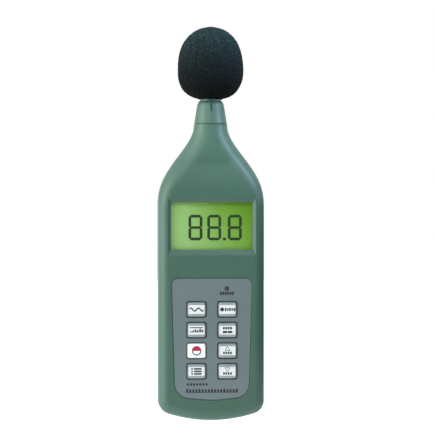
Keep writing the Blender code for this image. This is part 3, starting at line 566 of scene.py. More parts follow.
@dataclass(frozen=True)
class LiquidCrystal(Finish):
    """Twisted-nematic cell over a green reflector, with painted light: paler on the left, painted
    shade towards the right and the upper right corner, and a painted glow.
    """

    # far and deep are painted shade colours, and glow is a painted glow: the cell is no lamp.
    far: str
    deep: str
    low: tuple[float, float, float]
    high: tuple[float, float, float]
    glow: float

    def make(self) -> bpy.types.Material:
        """Builds the material: two ramps on x and z between the colours paint shade towards the
        right and the upper right corner, a faint mottle goes over them, and the colour also glows
        as painted light.
        """
        made, tree, shader, place = self.start(IOR=1.5, Emission_Strength=self.glow)
        axes = add_node(tree, "SeparateXYZ", {"Vector": place})
        across = add_node(tree, "MapRange", {"Value": axes.outputs["X"], "From Min": self.low[0],
                                             "From Max": self.high[0]},
                          interpolation_type="SMOOTHSTEP")
        upward = add_node(tree, "MapRange", {"Value": axes.outputs["Z"], "From Min": self.low[2],
                                             "From Max": self.high[2]},
                          interpolation_type="SMOOTHSTEP")
        body = add_node(tree, "Mix", {0: across.outputs[0], 6: linear(self.colour),
                                      7: linear(self.far)}, data_type="RGBA")
        corner = add_node(tree, "Math", {0: across.outputs[0], 1: upward.outputs[0]},
                          operation="MULTIPLY")
        shaded = add_node(tree, "Mix", {0: corner.outputs[0], 6: body.outputs[2],
                                        7: linear(self.deep)}, data_type="RGBA")
        mottle = add_node(tree, "TexNoise", {"Vector": place, "Scale": per_metre(6 * MM),
                                             "Detail": 3.0})
        tone = add_node(tree, "MapRange", {"Value": mottle.outputs[0], "To Min": 0.94,
                                           "To Max": 1.06})
        colour = add_node(tree, "Mix", {0: 1.0, 6: shaded.outputs[2], 7: tone.outputs[0]},
                          data_type="RGBA", blend_type="MULTIPLY")
        tree.links.new(colour.outputs[2], shader.inputs["Base Color"])
        # Painted glow: the display lights itself in its own colour.
        tree.links.new(colour.outputs[2], shader.inputs["Emission Color"])
        return made


@dataclass(frozen=True)
class ClearAcrylic(Finish):
    """Polished cast acrylic: nearly all of the light goes through, with a thin gloss on top."""

    cover: float

    def make(self) -> bpy.types.Material:
        """Builds the material, with faint wiping marks in its gloss."""
        made, tree, shader, place = self.start(IOR=1.49, Alpha=self.cover)
        marks = add_node(tree, "Mapping", {"Vector": place, "Scale": (0.15, 1.0, 1.0)})
        wiped = add_node(tree, "TexNoise", {"Vector": marks.outputs[0],
                                            "Scale": per_metre(1.5 * MM), "Detail": 4.0})
        rough = add_node(tree, "MapRange", {"Value": wiped.outputs[0], "To Min": self.roughness,
                                            "To Max": self.roughness + 0.1})
        tree.links.new(rough.outputs[0], shader.inputs["Roughness"])
        return made


@dataclass(frozen=True)
class OpenCellFoam(Finish):
    """Reticulated polyurethane foam: dull, with dark cells between paler struts.

    The piece's own "strut" attribute is 0 at the bottom of a cell and grows up a strut, and more
    so higher up the piece, which is painted light from above.
    """

    pale: str
    cell: float

    def make(self) -> bpy.types.Material:
        """Builds the material: colour by the attribute, with finer cells over it."""
        made, tree, shader, place = self.start(Specular_IOR_Level=0.12)
        strut = add_node(tree, "Attribute", attribute_name="strut")
        fine = add_node(tree, "TexVoronoi", {"Vector": place, "Scale": per_metre(self.cell)})
        rise = add_node(tree, "MapRange", {"Value": fine.outputs[0], "From Min": 0.1,
                                           "From Max": 0.8})
        height = add_node(tree, "Math", {0: strut.outputs["Fac"], 1: rise.outputs[0]},
                          operation="MULTIPLY")
        colour = add_node(tree, "Mix", {0: height.outputs[0], 6: linear(self.colour),
                                        7: linear(self.pale)}, data_type="RGBA")
        tree.links.new(colour.outputs[2], shader.inputs["Base Color"])
        bump = add_node(tree, "Bump", {"Height": rise.outputs[0], "Strength": 1.0,
                                       "Distance": 0.12 * MM})
        tree.links.new(bump.outputs["Normal"], shader.inputs["Normal"])
        return made


@dataclass(frozen=True)
class TurnedMetal(Finish):
    """Metal turned on a lathe and left satin or plated.

    The eye gets a soft metal sheen with fine rings, which run round the axis that is named.
    """

    axis: Axis = Axis.Z
    ring: float = 0.35 * MM
    depth: float = 0.004 * MM

    def make(self) -> bpy.types.Material:
        """Builds the material: noise on the axis alone gives the rings, a slow one the tarnish."""
        made, tree, shader, place = self.start(Metallic=1.0)
        axes = add_node(tree, "SeparateXYZ", {"Vector": place})
        rings = add_node(tree, "TexNoise", {"W": axes.outputs[self.axis.name],
                                            "Scale": per_metre(self.ring), "Detail": 2.0},
                         noise_dimensions="1D")
        bump = add_node(tree, "Bump", {"Height": rings.outputs[0], "Strength": 1.0,
                                       "Distance": self.depth})
        tree.links.new(bump.outputs["Normal"], shader.inputs["Normal"])
        tarnish = add_node(tree, "TexNoise", {"Vector": place, "Scale": per_metre(3 * MM),
                                              "Detail": 4.0})
        rough = add_node(tree, "MapRange", {"Value": tarnish.outputs[0], "From Min": 0.3,
                                            "From Max": 0.7, "To Min": self.roughness - 0.06,
                                            "To Max": self.roughness + 0.08})
        tree.links.new(rough.outputs[0], shader.inputs["Roughness"])
        return made


@dataclass(frozen=True)
class PlatedSteel(Finish):
    """Bright-plated spring steel and screws: even metal with small dull patches."""

    other: str

    def make(self) -> bpy.types.Material:
        """Builds the material."""
        made, tree, shader, place = self.start(Metallic=1.0)
        self.uneven(tree, shader, place, self.other, 2.5 * MM, 0.07)
        return made


@dataclass(frozen=True)
class CircuitBoard(Finish):
    """Glass-fibre laminate under green solder resist: tracks show as a paler, raised net."""

    track: str

    def make(self) -> bpy.types.Material:
        """Builds the material: square cells give the spaces, and the lines between them tracks."""
        made, tree, shader, place = self.start(IOR=1.55)
        net = add_node(tree, "TexVoronoi", {"Vector": place, "Scale": per_metre(2.5 * MM)},
                       feature="F1", distance="MANHATTAN")
        line = add_node(tree, "MapRange", {"Value": net.outputs[0], "From Min": 0.55,
                                           "From Max": 0.62})
        colour = add_node(tree, "Mix", {0: line.outputs[0], 6: linear(self.colour),
                                        7: linear(self.track)}, data_type="RGBA")
        tree.links.new(colour.outputs[2], shader.inputs["Base Color"])
        bump = add_node(tree, "Bump", {"Height": line.outputs[0], "Strength": 1.0,
                                       "Distance": 0.03 * MM})
        tree.links.new(bump.outputs["Normal"], shader.inputs["Normal"])
        return made


@dataclass(frozen=True)
class CellJacket(Finish):
    """Shrunk plastic label on a dry cell, with a copper-coloured band and bare steel ends.

    The piece's own "along" attribute runs from 0 at the flat end to 1 at the raised end.
    """

    band: str
    steel: str

    def make(self) -> bpy.types.Material:
        """Builds the material: hard steps along the attribute pick the colour and the metal."""
        made, tree, shader, place = self.start(Coat_Weight=0.3, Coat_Roughness=0.15)
        along = add_node(tree, "Attribute", attribute_name="along").outputs["Fac"]
        banded = add_node(tree, "Math", {0: along, 1: 0.72}, operation="GREATER_THAN")
        ends = add_node(tree, "Math", {0: along, 1: 0.5, 2: 0.475}, operation="COMPARE")
        label = add_node(tree, "Mix", {0: banded.outputs[0], 6: linear(self.colour),
                                       7: linear(self.band)}, data_type="RGBA")
        colour = add_node(tree, "Mix", {0: ends.outputs[0], 6: linear(self.steel),
                                        7: label.outputs[2]}, data_type="RGBA")
        tree.links.new(colour.outputs[2], shader.inputs["Base Color"])
        metal = add_node(tree, "MapRange", {"Value": ends.outputs[0], "To Min": 1.0,
                                            "To Max": 0.35})
        tree.links.new(metal.outputs[0], shader.inputs["Metallic"])
        scuffs = add_node(tree, "TexNoise", {"Vector": place, "Scale": per_metre(2 * MM),
                                             "Detail": 4.0})
        rough = add_node(tree, "MapRange", {"Value": scuffs.outputs[0], "To Min": 0.2,
                                            "To Max": 0.45})
        tree.links.new(rough.outputs[0], shader.inputs["Roughness"])
        return made


@dataclass(frozen=True)
class LampLens(Finish):
    """Cast epoxy lens of an unlit lamp: dark tinted resin under a clear skin."""

    def make(self) -> bpy.types.Material:
        """Builds the material, with a fine grain on its surface."""
        made, tree, shader, place = self.start(IOR=1.54, Coat_Weight=0.2, Coat_Roughness=0.2)
        self.grained(tree, shader, place, 0.5 * MM, 0.004 * MM)
        return made


@dataclass(frozen=True)
class PrintingInk(Finish):
    """Screen-printing ink: an opaque film that is a little thinner in places."""

    other: str

    def make(self) -> bpy.types.Material:
        """Builds the material."""
        made, tree, shader, place = self.start(IOR=1.5)
        self.uneven(tree, shader, place, self.other, 1.2 * MM, 0.05)
        return made


@dataclass(frozen=True)
class StudioPaper(Finish):
    """Seamless background paper: flat, with a barely visible tooth, lit a little from behind."""

    def make(self, glow: float = 0.5) -> bpy.types.Material:
        """Builds the material, with the light that comes through it."""
        made, tree, shader, place = self.start(Emission_Color=(1.0, 1.0, 1.0, 1.0),
                                               Emission_Strength=glow)
        self.grained(tree, shader, place, 1.5 * MM, 0.02 * MM)
        return made


class Ink(Enum):
    """The inks that print the panel, the keys and the display."""

    DARK = ("ink_dark", "#0b0f12", "#141a1d")
    RED = ("ink_red", "#a3123c", "#960f36")
    WHITE = ("ink_white", "#d3d9d8", "#cfd5d4")


class Workshop:
    """Every material of the object, each made once."""

    def __init__(self) -> None:
        """Makes them all."""
        low, high = box_of("lcd_glass")
        self.case = MouldedPlastic("abs_moulded_grey_green", "#34594b", 0.48, "#315546").make()
        self.sleeve = MouldedPlastic("abs_moulded_deep_green", "#3d6456", 0.4, "#386450").make()
        self.black = MouldedPlastic("abs_moulded_black", "#17191a", 0.5, "#1f2223").make()
        self.panel = PrintedFilm("polyester_film_printed", "#5c6c6d", 0.45, "#586869").make()
        self.key = MouldedPlastic("abs_moulded_key_grey", "#899496", 0.38, "#818c8d",
                                  depth=0.003 * MM, patch=5 * MM).make()
        self.power_key = MouldedPlastic("abs_moulded_key_bright_white", "#d9dddc", 0.36, "#eef1f0",
                                        depth=0.003 * MM, patch=5 * MM).make()
        self.foam = OpenCellFoam("polyurethane_foam_open_cell", "#030506", 0.95, "#2a4144",
                                 cell=0.55 * MM).make()
        self.window = ClearAcrylic("acrylic_cast_clear", "#0b120b", 0.04, cover=0.05).make()
        # The display's far and deep colours are painted shade, and its glow is painted light.
        self.display = LiquidCrystal("liquid_crystal_green", "#8fbb70", 0.3, far="#6c9c38",
                                     deep="#5c8e20", low=tuple(low), high=tuple(high),
                                     glow=0.12).make()
        self.segment = PrintingInk("liquid_crystal_segment_dark", "#0c2a06", 0.45, "#103009").make()
        self.reflector = MouldedPlastic("polyester_reflector_white", "#d9ddda", 0.5,
                                        "#cfd4d0").make()
        self.rubber = MouldedPlastic("silicone_rubber_moulded_grey", "#9c9e98", 0.7,
                                     "#92958e").make()
        self.zebra = MouldedPlastic("silicone_rubber_conductive_pink", "#c08a88", 0.7,
                                    "#4a3434", patch=0.5 * MM).make()
        self.board = CircuitBoard("glass_fibre_board_resist_green", "#0f4a22", 0.35,
                                  "#1d6b34").make()
        self.trimmer = MouldedPlastic("thermoplastic_moulded_blue", "#1d4f9a", 0.4,
                                      "#1a4788").make()
        self.capacitor = MouldedPlastic("pvc_shrink_sleeve_navy", "#1b2238", 0.35,
                                        "#222a44").make()
        self.lens = LampLens("epoxy_lens_dark_red", "#38222c", 0.4).make()
        self.brass = TurnedMetal("brass_turned", "#b8985a", 0.3, axis=Axis.Y).make()
        self.screw = PlatedSteel("steel_zinc_plated", "#a9adb0", 0.34, "#8d9195").make()
        self.spring = PlatedSteel("steel_nickel_plated", "#b9bbb9", 0.26, "#a3a5a2").make()
        self.can = PlatedSteel("nickel_silver_drawn", "#b4b4b0", 0.28, "#a0a09b").make()
        self.microphone = TurnedMetal("nickel_turned_satin", "#9fa3a3", 0.34).make()
        self.jacket = CellJacket("cell_label_printed", "#14181f", 0.3, band="#b5713a",
                                 steel="#b0b2b2").make()
        self.inks = {ink: PrintingInk(*ink.value[:2], 0.5, ink.value[2]).make() for ink in Ink}


# ---------------------------------------------------------------- the case

def ease(share: np.ndarray) -> np.ndarray:
    """Smooth step 3 t^2 - 2 t^3 of shares held between 0 and 1."""
    share = np.clip(share, 0.0, 1.0)
    return share * share * (3 - 2 * share)


@dataclass
class Case:
    """The two moulded halves of the case, with their recesses, openings and screw wells."""

    works: Workshop
    edge_radius: float = 6.0 * MM
    shoulder_spread: float = 2.6 * MM
    corner_radius: float = 8.0 * MM
    bottom_radius: float = 85.0 * MM
    shoulder_base: float = 128.0 * MM
    shoulder_top: float = 176.0 * MM
    shoulder_skew: float = 1.28
    depth_taper_base: float = 140.0 * MM
    neck_radius: float = 10.0 * MM
    neck_top: float = 176.8 * MM
    wall: float = 2.2 * MM
    seam: float = 0.15 * MM          # half of the gap between the two halves
    lip: float = 0.15 * MM           # round edge along the seam
    mouth: float = 0.35 * MM         # round edge of a recess in the face
    key_size: tuple[float, float] = (10.6 * MM, 8.4 * MM)
    key_gap: float = 0.55 * MM
    key_corner: float = 1.2 * MM
    lamp_hole: float = 1.3 * MM
    display_size: tuple[float, float] = (52.3 * MM, 33.7 * MM)
    display_middle: float = 115.5 * MM
    display_recess: float = 1.7 * MM
    throat_size: tuple[float, float] = (48.7 * MM, 28.2 * MM)
    throat_middle: float = 115.85 * MM
    screw_places: tuple[tuple[float, float], ...] = ((24 * MM, 71 * MM), (19 * MM, 138 * MM))
    screw_well: float = 2.9 * MM
    screw_post: float = 4.2 * MM
    fit: float = 0.3 * MM
    rail_width: float = 1.5 * MM     # of the battery cover's rails, past its face
    rail_base: float = 9.7 * MM
    half_width: float = field(init=False)
    half_depth: float = field(init=False)

    def __post_init__(self) -> None:
        """Takes the overall sizes from the CAD frame."""
        low, high = box_of("front_shell")
        self.half_width = high[0]
        self.half_depth = -low[1]

    def half_width_at(self, height: np.ndarray) -> np.ndarray:
        """Half the width: an S-curve from the body's width to the neck's radius."""
        share = (height - self.shoulder_base) / (self.shoulder_top - self.shoulder_base)
        blend = ease(np.clip(share, 0.0, 1.0) ** self.shoulder_skew)
        return self.half_width + (self.neck_radius - self.half_width) * blend

    def half_depth_at(self, height: np.ndarray) -> np.ndarray:
        """Half the depth, which eases in to the neck's radius."""
        share = (height - self.depth_taper_base) / (self.shoulder_top - self.depth_taper_base)
        return self.half_depth + (self.neck_radius - self.half_depth) * ease(share)

    def edge_radius_at(self, height: np.ndarray) -> np.ndarray:
        """Radius of the border: wider on the shoulders, and the neck's full round at the top."""
        share = (height - self.shoulder_base) / (self.shoulder_top - self.shoulder_base)
        share = np.clip(share, 0.0, 1.0)
        return (self.edge_radius + self.shoulder_spread * 4 * share * (1 - share)
                + (self.neck_radius - self.fit - self.edge_radius) * ease(share))

    def outline(self) -> tuple[np.ndarray, np.ndarray]:
        """Right half of the front view, from the neck down to the middle of the bottom.

        S-curve shoulder, straight side, corner arc and shallow bottom arc, one tangent to the next.

        Returns:
            The (x, z) points, and the inward direction at each.
        """
        step = 0.1 * MM
        height = np.linspace(self.shoulder_top, self.shoulder_base, 97)
        slope = (self.half_width_at(height + step) - self.half_width_at(height - step)) / (2 * step)
        shoulder = np.column_stack((self.half_width_at(height), height))
        shoulder_in = np.column_stack((-np.ones_like(slope), slope))
        shoulder_in /= np.linalg.norm(shoulder_in, axis=1, keepdims=True)
        corner_x = self.half_width - self.corner_radius
        reach = self.bottom_radius - self.corner_radius
        lean = math.asin(corner_x / reach)
        centre = (corner_x, self.bottom_radius - reach * math.cos(lean))
        lowest = -90 + math.degrees(lean)
        corner = arc(centre, self.corner_radius, 0.0, lowest, 25)
        corner_in = arc((0.0, 0.0), -1.0, 0.0, lowest, 25)
        bottom = arc((0.0, self.bottom_radius), self.bottom_radius, lowest, -90.0, 25)[1:]
        bottom_in = arc((0.0, 0.0), -1.0, lowest, -90.0, 25)[1:]
        top = [(self.neck_radius, self.neck_top)]
        return (np.concatenate((top, shoulder, corner, bottom)),
                np.concatenate(([(-1.0, 0.0)], shoulder_in, corner_in, bottom_in)))

    def skin(self, side: int, inset: float, lip: float) -> np.ndarray:
        """Grid of points over half of the case: rows down the outline, columns over the border.

        At each point of the outline the surface leaves the seam, turns through a quarter circle of
        the border's radius and runs over the face to the mirrored border. The border's point at
        angle a is r * (1 - cos a) inwards and flat + r * sin a deep.

        Args:
            side: -1 for the front half, 1 for the rear half.
            inset: How far the surface lies under the outer skin.
            lip: Radius of the round edge beside the seam.

        Returns:
            Array of rows by columns by 3.
        """
        places, inward = self.outline()
        radius = (self.edge_radius_at(places[:, 1]) - inset)[:, None]
        flat = self.half_depth_at(places[:, 1])[:, None] - inset - radius
        edge = np.radians(np.linspace(0.0, 90.0, 4))
        turn = np.radians(np.linspace(0.0, 90.0, 17))
        rows = np.ones((len(places), 1))
        move = np.hstack((rows * lip * (1 - np.sin(edge)), radius * (1 - np.cos(turn)))) + inset
        depth = np.hstack((rows * (self.seam + lip * (1 - np.cos(edge))),
                           np.maximum(flat, self.seam + lip) + radius * np.sin(turn)))
        grid = np.stack((places[:, :1] + inward[:, :1] * move, side * depth,
                         places[:, 1:] + inward[:, 1:] * move), axis=-1)
        mirrored = grid[:, ::-1] * np.array((-1.0, 1.0, 1.0))
        return np.concatenate((grid, mirrored), axis=1)

    def half(self, side: int) -> Shape:
        """Half of the hollow case: an outer and an inner skin, joined at the seam and the neck.

        Args:
            side: -1 for the front half, 1 for the rear half.

        Returns:
            The closed shell.
        """
        outer = self.skin(side, 0.0, self.lip)
        inner = self.skin(side, self.wall, 0.0)
        rows, columns = outer.shape[:2]
        shell = sheet(outer) + sheet(inner)
        down = np.arange(rows - 1)
        across = np.arange(columns - 1)
        under = rows * columns
        for column in (0, columns - 1):
            here = down * columns + column
            shell.faces += np.stack((here, here + columns, here + columns + under, here + under),
                                    axis=-1).tolist()
        shell.faces += np.stack((across, across + 1, across + 1 + under, across + under),
                                axis=-1).tolist()
        return shell

    def key_opening(self, x: float, z: float, grow: float = 0.0) -> np.ndarray:
        """Outline of the opening round the key whose middle is at (x, z), grown on every side."""
        wide, high = (size + 2 * (self.key_gap + grow) for size in self.key_size)
        return rounded_rectangle(wide, high, self.key_corner + grow, x, z)

    def key_centres(self) -> dict[str, tuple[float, float]]:
        """Where the middle of each key lies, from the CAD frame."""
        return {node: tuple(middle_of(node)[[0, 2]]) for node in frame["nodes"]
                if node.startswith("key_")}

    def panel_outline(self, grow: float) -> np.ndarray:
        """The printed panel's long shape, a little narrower below, on a shallow arc.

        Args:
            grow: How much larger than the panel on every side.

        Returns:
            Array of (x, z) points.
        """
        low, high = box_of("keypad_overlay")
        wide = high[0] + grow
        narrow = wide - 2.0 * MM
        top = high[2] + grow
        base = low[2] + 0.1 * MM - grow
        side = base + 1.9 * MM
        upper = 3.8 * MM + grow
        lower = 9.0 * MM + grow
        return rounded_outline(((0.0, base - 0.1 * MM, 60.0 * MM), (narrow, side, lower),
                                (wide, top, upper), (-wide, top, upper), (-narrow, side, lower)),
                               steps=14)

    def build_front(self) -> None:
        """Front half with its sloped display recess, panel recess, key and lamp openings."""
        face = -self.half_depth
        inside = face + self.wall + 1.0 * MM
        shell = mesh_object("case_front", self.half(-1))
        width, height = self.display_size
        angle = np.radians(np.linspace(0.0, 90.0, 6))
        outlines = [rounded_rectangle(width + 2 * grow, height + 2 * grow, MM + grow,
                                      z=self.display_middle)
                    for grow in (self.mouth, *(self.mouth * (1 - np.sin(angle))))]
        depths = [face - 2 * MM, *(face + self.mouth * (1 - np.cos(angle)))]
        throat = rounded_rectangle(*self.throat_size, 0.6 * MM, z=self.throat_middle)
        carve(shell, lofted([*outlines, throat, throat],
                            [*depths, face + self.display_recess, inside]))
        floor = box_of("keypad_overlay")[1][1] + self.fit
        carve(shell, opening_tool(lambda grow: self.panel_outline(self.fit + grow), face,
                                  0.3 * MM, floor))
        holes = [self.key_opening(x, z) for x, z in self.key_centres().values()]
        holes.append(circle(middle_of("status_led")[[0, 2]], self.lamp_hole))
        carve(shell, joined(prism(hole, floor - 0.4 * MM, inside) for hole in holes))
        finish_piece(shell, self.works.case, "case", ("front_shell",))

    def build_back(self) -> None:
        """Rear half with its battery opening, screw wells, tripod well and jack hole."""
        back = self.half_depth
        shell = mesh_object("case_back", self.half(1))
        cover_low, cover_high = box_of("battery_cover")
        half = self.cover_half_width() + self.fit
        carve(shell, block((-half, cover_low[1] - self.fit, -5 * MM),
                           (half, back + 5 * MM, cover_high[2] + self.fit)))
        rail_reach = cover_high[0] + self.fit
        rail_back = back - self.wall
        carve(shell, block((-rail_reach, rail_back - 1.8 * MM, -5 * MM),
                           (rail_reach, rail_back, self.rail_base)))
        screws = [(side * x, z) for x, z in self.screw_places for side in (-1, 1)]
        tools = [opening_tool(lambda grow, place=place: circle(place, self.screw_well + grow),
                              back, self.mouth, 6.0 * MM) for place in screws]
        insert = middle_of("tripod_insert")[[0, 2]]
        well = box_of("tripod_insert")[1][0] + self.fit
        tools.append(opening_tool(lambda grow: circle(insert, well + grow), back, self.mouth,
                                  4.4 * MM))
        root = back - self.wall + self.fit
        posts = [prism(circle(place, self.screw_post), self.seam, root) for place in screws]
        posts.append(prism(circle(insert, well + 1.6 * MM), 2.9 * MM, root))
        carve(shell, joined(posts), Carving.ADD)
        carve(shell, joined(tools))
        low, high = box_of("output_jack")
        hole = (high[2] - low[2]) / 2 + self.fit
        carve(shell, turned(((0.0, -8 * MM), (hole, -8 * MM), (hole, 5 * MM), (0.0, 5 * MM)),
                            (self.half_width, *middle_of("output_jack")[1:]), Axis.X, 48))
        finish_piece(shell, self.works.case, "case", ("rear_shell",))

    def build_tongue(self) -> None:
        """The tongue inside the walls that joins both halves along the seam and keeps light out.

        At each point of the outline it is a rectangle between two insets and two depths.
        """
        places, inward = self.outline()
        corners = ((0.9 * MM, -1.3 * MM), (1.7 * MM, -1.3 * MM), (1.7 * MM, 0.8 * MM),
                   (0.9 * MM, 0.8 * MM))
        right = np.stack([at_depth(places + inward * inset, depth) for inset, depth in corners],
                         axis=1)
        left = right[-2::-1] * np.array((-1.0, 1.0, 1.0))
        tongue = mesh_object("case_seam_tongue", capped(np.concatenate((right, left))))
        finish_piece(tongue, self.works.black, "case")

    def cover_half_width(self) -> float:
        """Half the width of the battery cover's face, inside its rails."""
        return box_of("battery_cover")[1][0] - self.rail_width

    def build_cover(self) -> None:
        """Sliding battery cover, with rails, finger grooves and an arrow for the way it opens."""
        back = self.half_depth
        low, high = box_of("battery_cover")
        half = self.cover_half_width()
        edge = half + self.rail_width
        top = high[2]
        cover = mesh_object("battery_cover_moulded", self.half(1))
        carve(cover, block((-half, low[1], -5 * MM), (half, back + 5 * MM, top)), Carving.SHARE)
        rail_back = back - self.wall - self.fit
        rail_front = rail_back - 1.2 * MM
        root = half - 1.2 * MM
        web = rail_back + 2 * self.fit
        section = np.array([(root, rail_front), (edge, rail_front), (edge, rail_back),
                            (half, rail_back), (half, web), (root, web)])
        for side in (-1, 1):
            rail = prism(section * (side, 1.0), self.rail_base, top - 2 * MM)
            carve(cover, rail.raised(), Carving.ADD)
        grip = [opening_tool(lambda grow, z=top - 8.6 * MM - step * 2.4 * MM: rounded_rectangle(
                    16 * MM + 2 * grow, 0.8 * MM + 2 * grow, 0.39 * MM + grow, z=z),
                    back, 0.2 * MM, back - 0.5 * MM) for step in range(4)]
        tip = top - 24 * MM
        arrow = rounded_outline(((0.0, tip, 0.3 * MM), (4.5 * MM, tip + 5 * MM, 0.3 * MM),
                                 (-4.5 * MM, tip + 5 * MM, 0.3 * MM)), steps=4)
        grip.append(prism(arrow, back - 0.7 * MM, back + MM))
        carve(cover, joined(grip))
        finish_piece(cover, self.works.case, "battery_cover", ("battery_cover",))

    def build(self) -> None:
        """Builds both halves, the tongue between them and the battery cover."""
        self.build_front()
        self.build_back()
        self.build_tongue()
        self.build_cover()


# ---------------------------------------------------------------- the front's fittings

def printed(outline: np.ndarray, face: float, height: float = FILM) -> Shape:
    """A film of ink with an outline, on a face that looks towards -Y."""
    return prism(outline, face - height, face + SINK)


def printed_ring(outer: np.ndarray, inner: np.ndarray, face: float) -> Shape:
    """A film of ink between two outlines with the same count of points, on a face towards -Y."""
    rows = ((outer, face - FILM), (outer, face + SINK), (inner, face + SINK), (inner, face - FILM))
    return sheet(np.array([at_depth(*row) for row in rows]), True, True)


def lay_ink(name: str, shape: Shape, ink: bpy.types.Material, body: str) -> None:
    """Makes a piece of printed ink that rides on a body."""
    finish_piece(mesh_object(name, shape), ink, body, weighted=False)


def stroke(path: np.ndarray, width: float) -> np.ndarray:
    """Outline of a line of even width: the path moved to its left, then back along its right.

    Args:
        path: Array of (x, z) points.
        width: Width of the line.

    Returns:
        Array of (x, z) points, as a closed outline.
    """
    along = np.gradient(path, axis=0)
    along /= np.linalg.norm(along, axis=1, keepdims=True)
    across = np.column_stack((-along[:, 1], along[:, 0])) * width / 2
    return np.concatenate((path + across, (path - across)[::-1]))


def bar(x: float, z: float, width: float, height: float) -> np.ndarray:
    """Outline of a bar with slightly round corners."""
    return rounded_rectangle(width, height, min(width, height) * 0.2, x, z, steps=2)


class Legend(Enum):
    """What is printed on a key. Each is a general sign, with no lettering."""

    WAVE = "key_function"
    RECORD = "key_record"
    PEAK = "key_max_hold"
    SPEEDS = "key_response"
    POWER = "key_power"
    RISE = "key_up"
    LIST = "key_menu"
    FALL = "key_down"


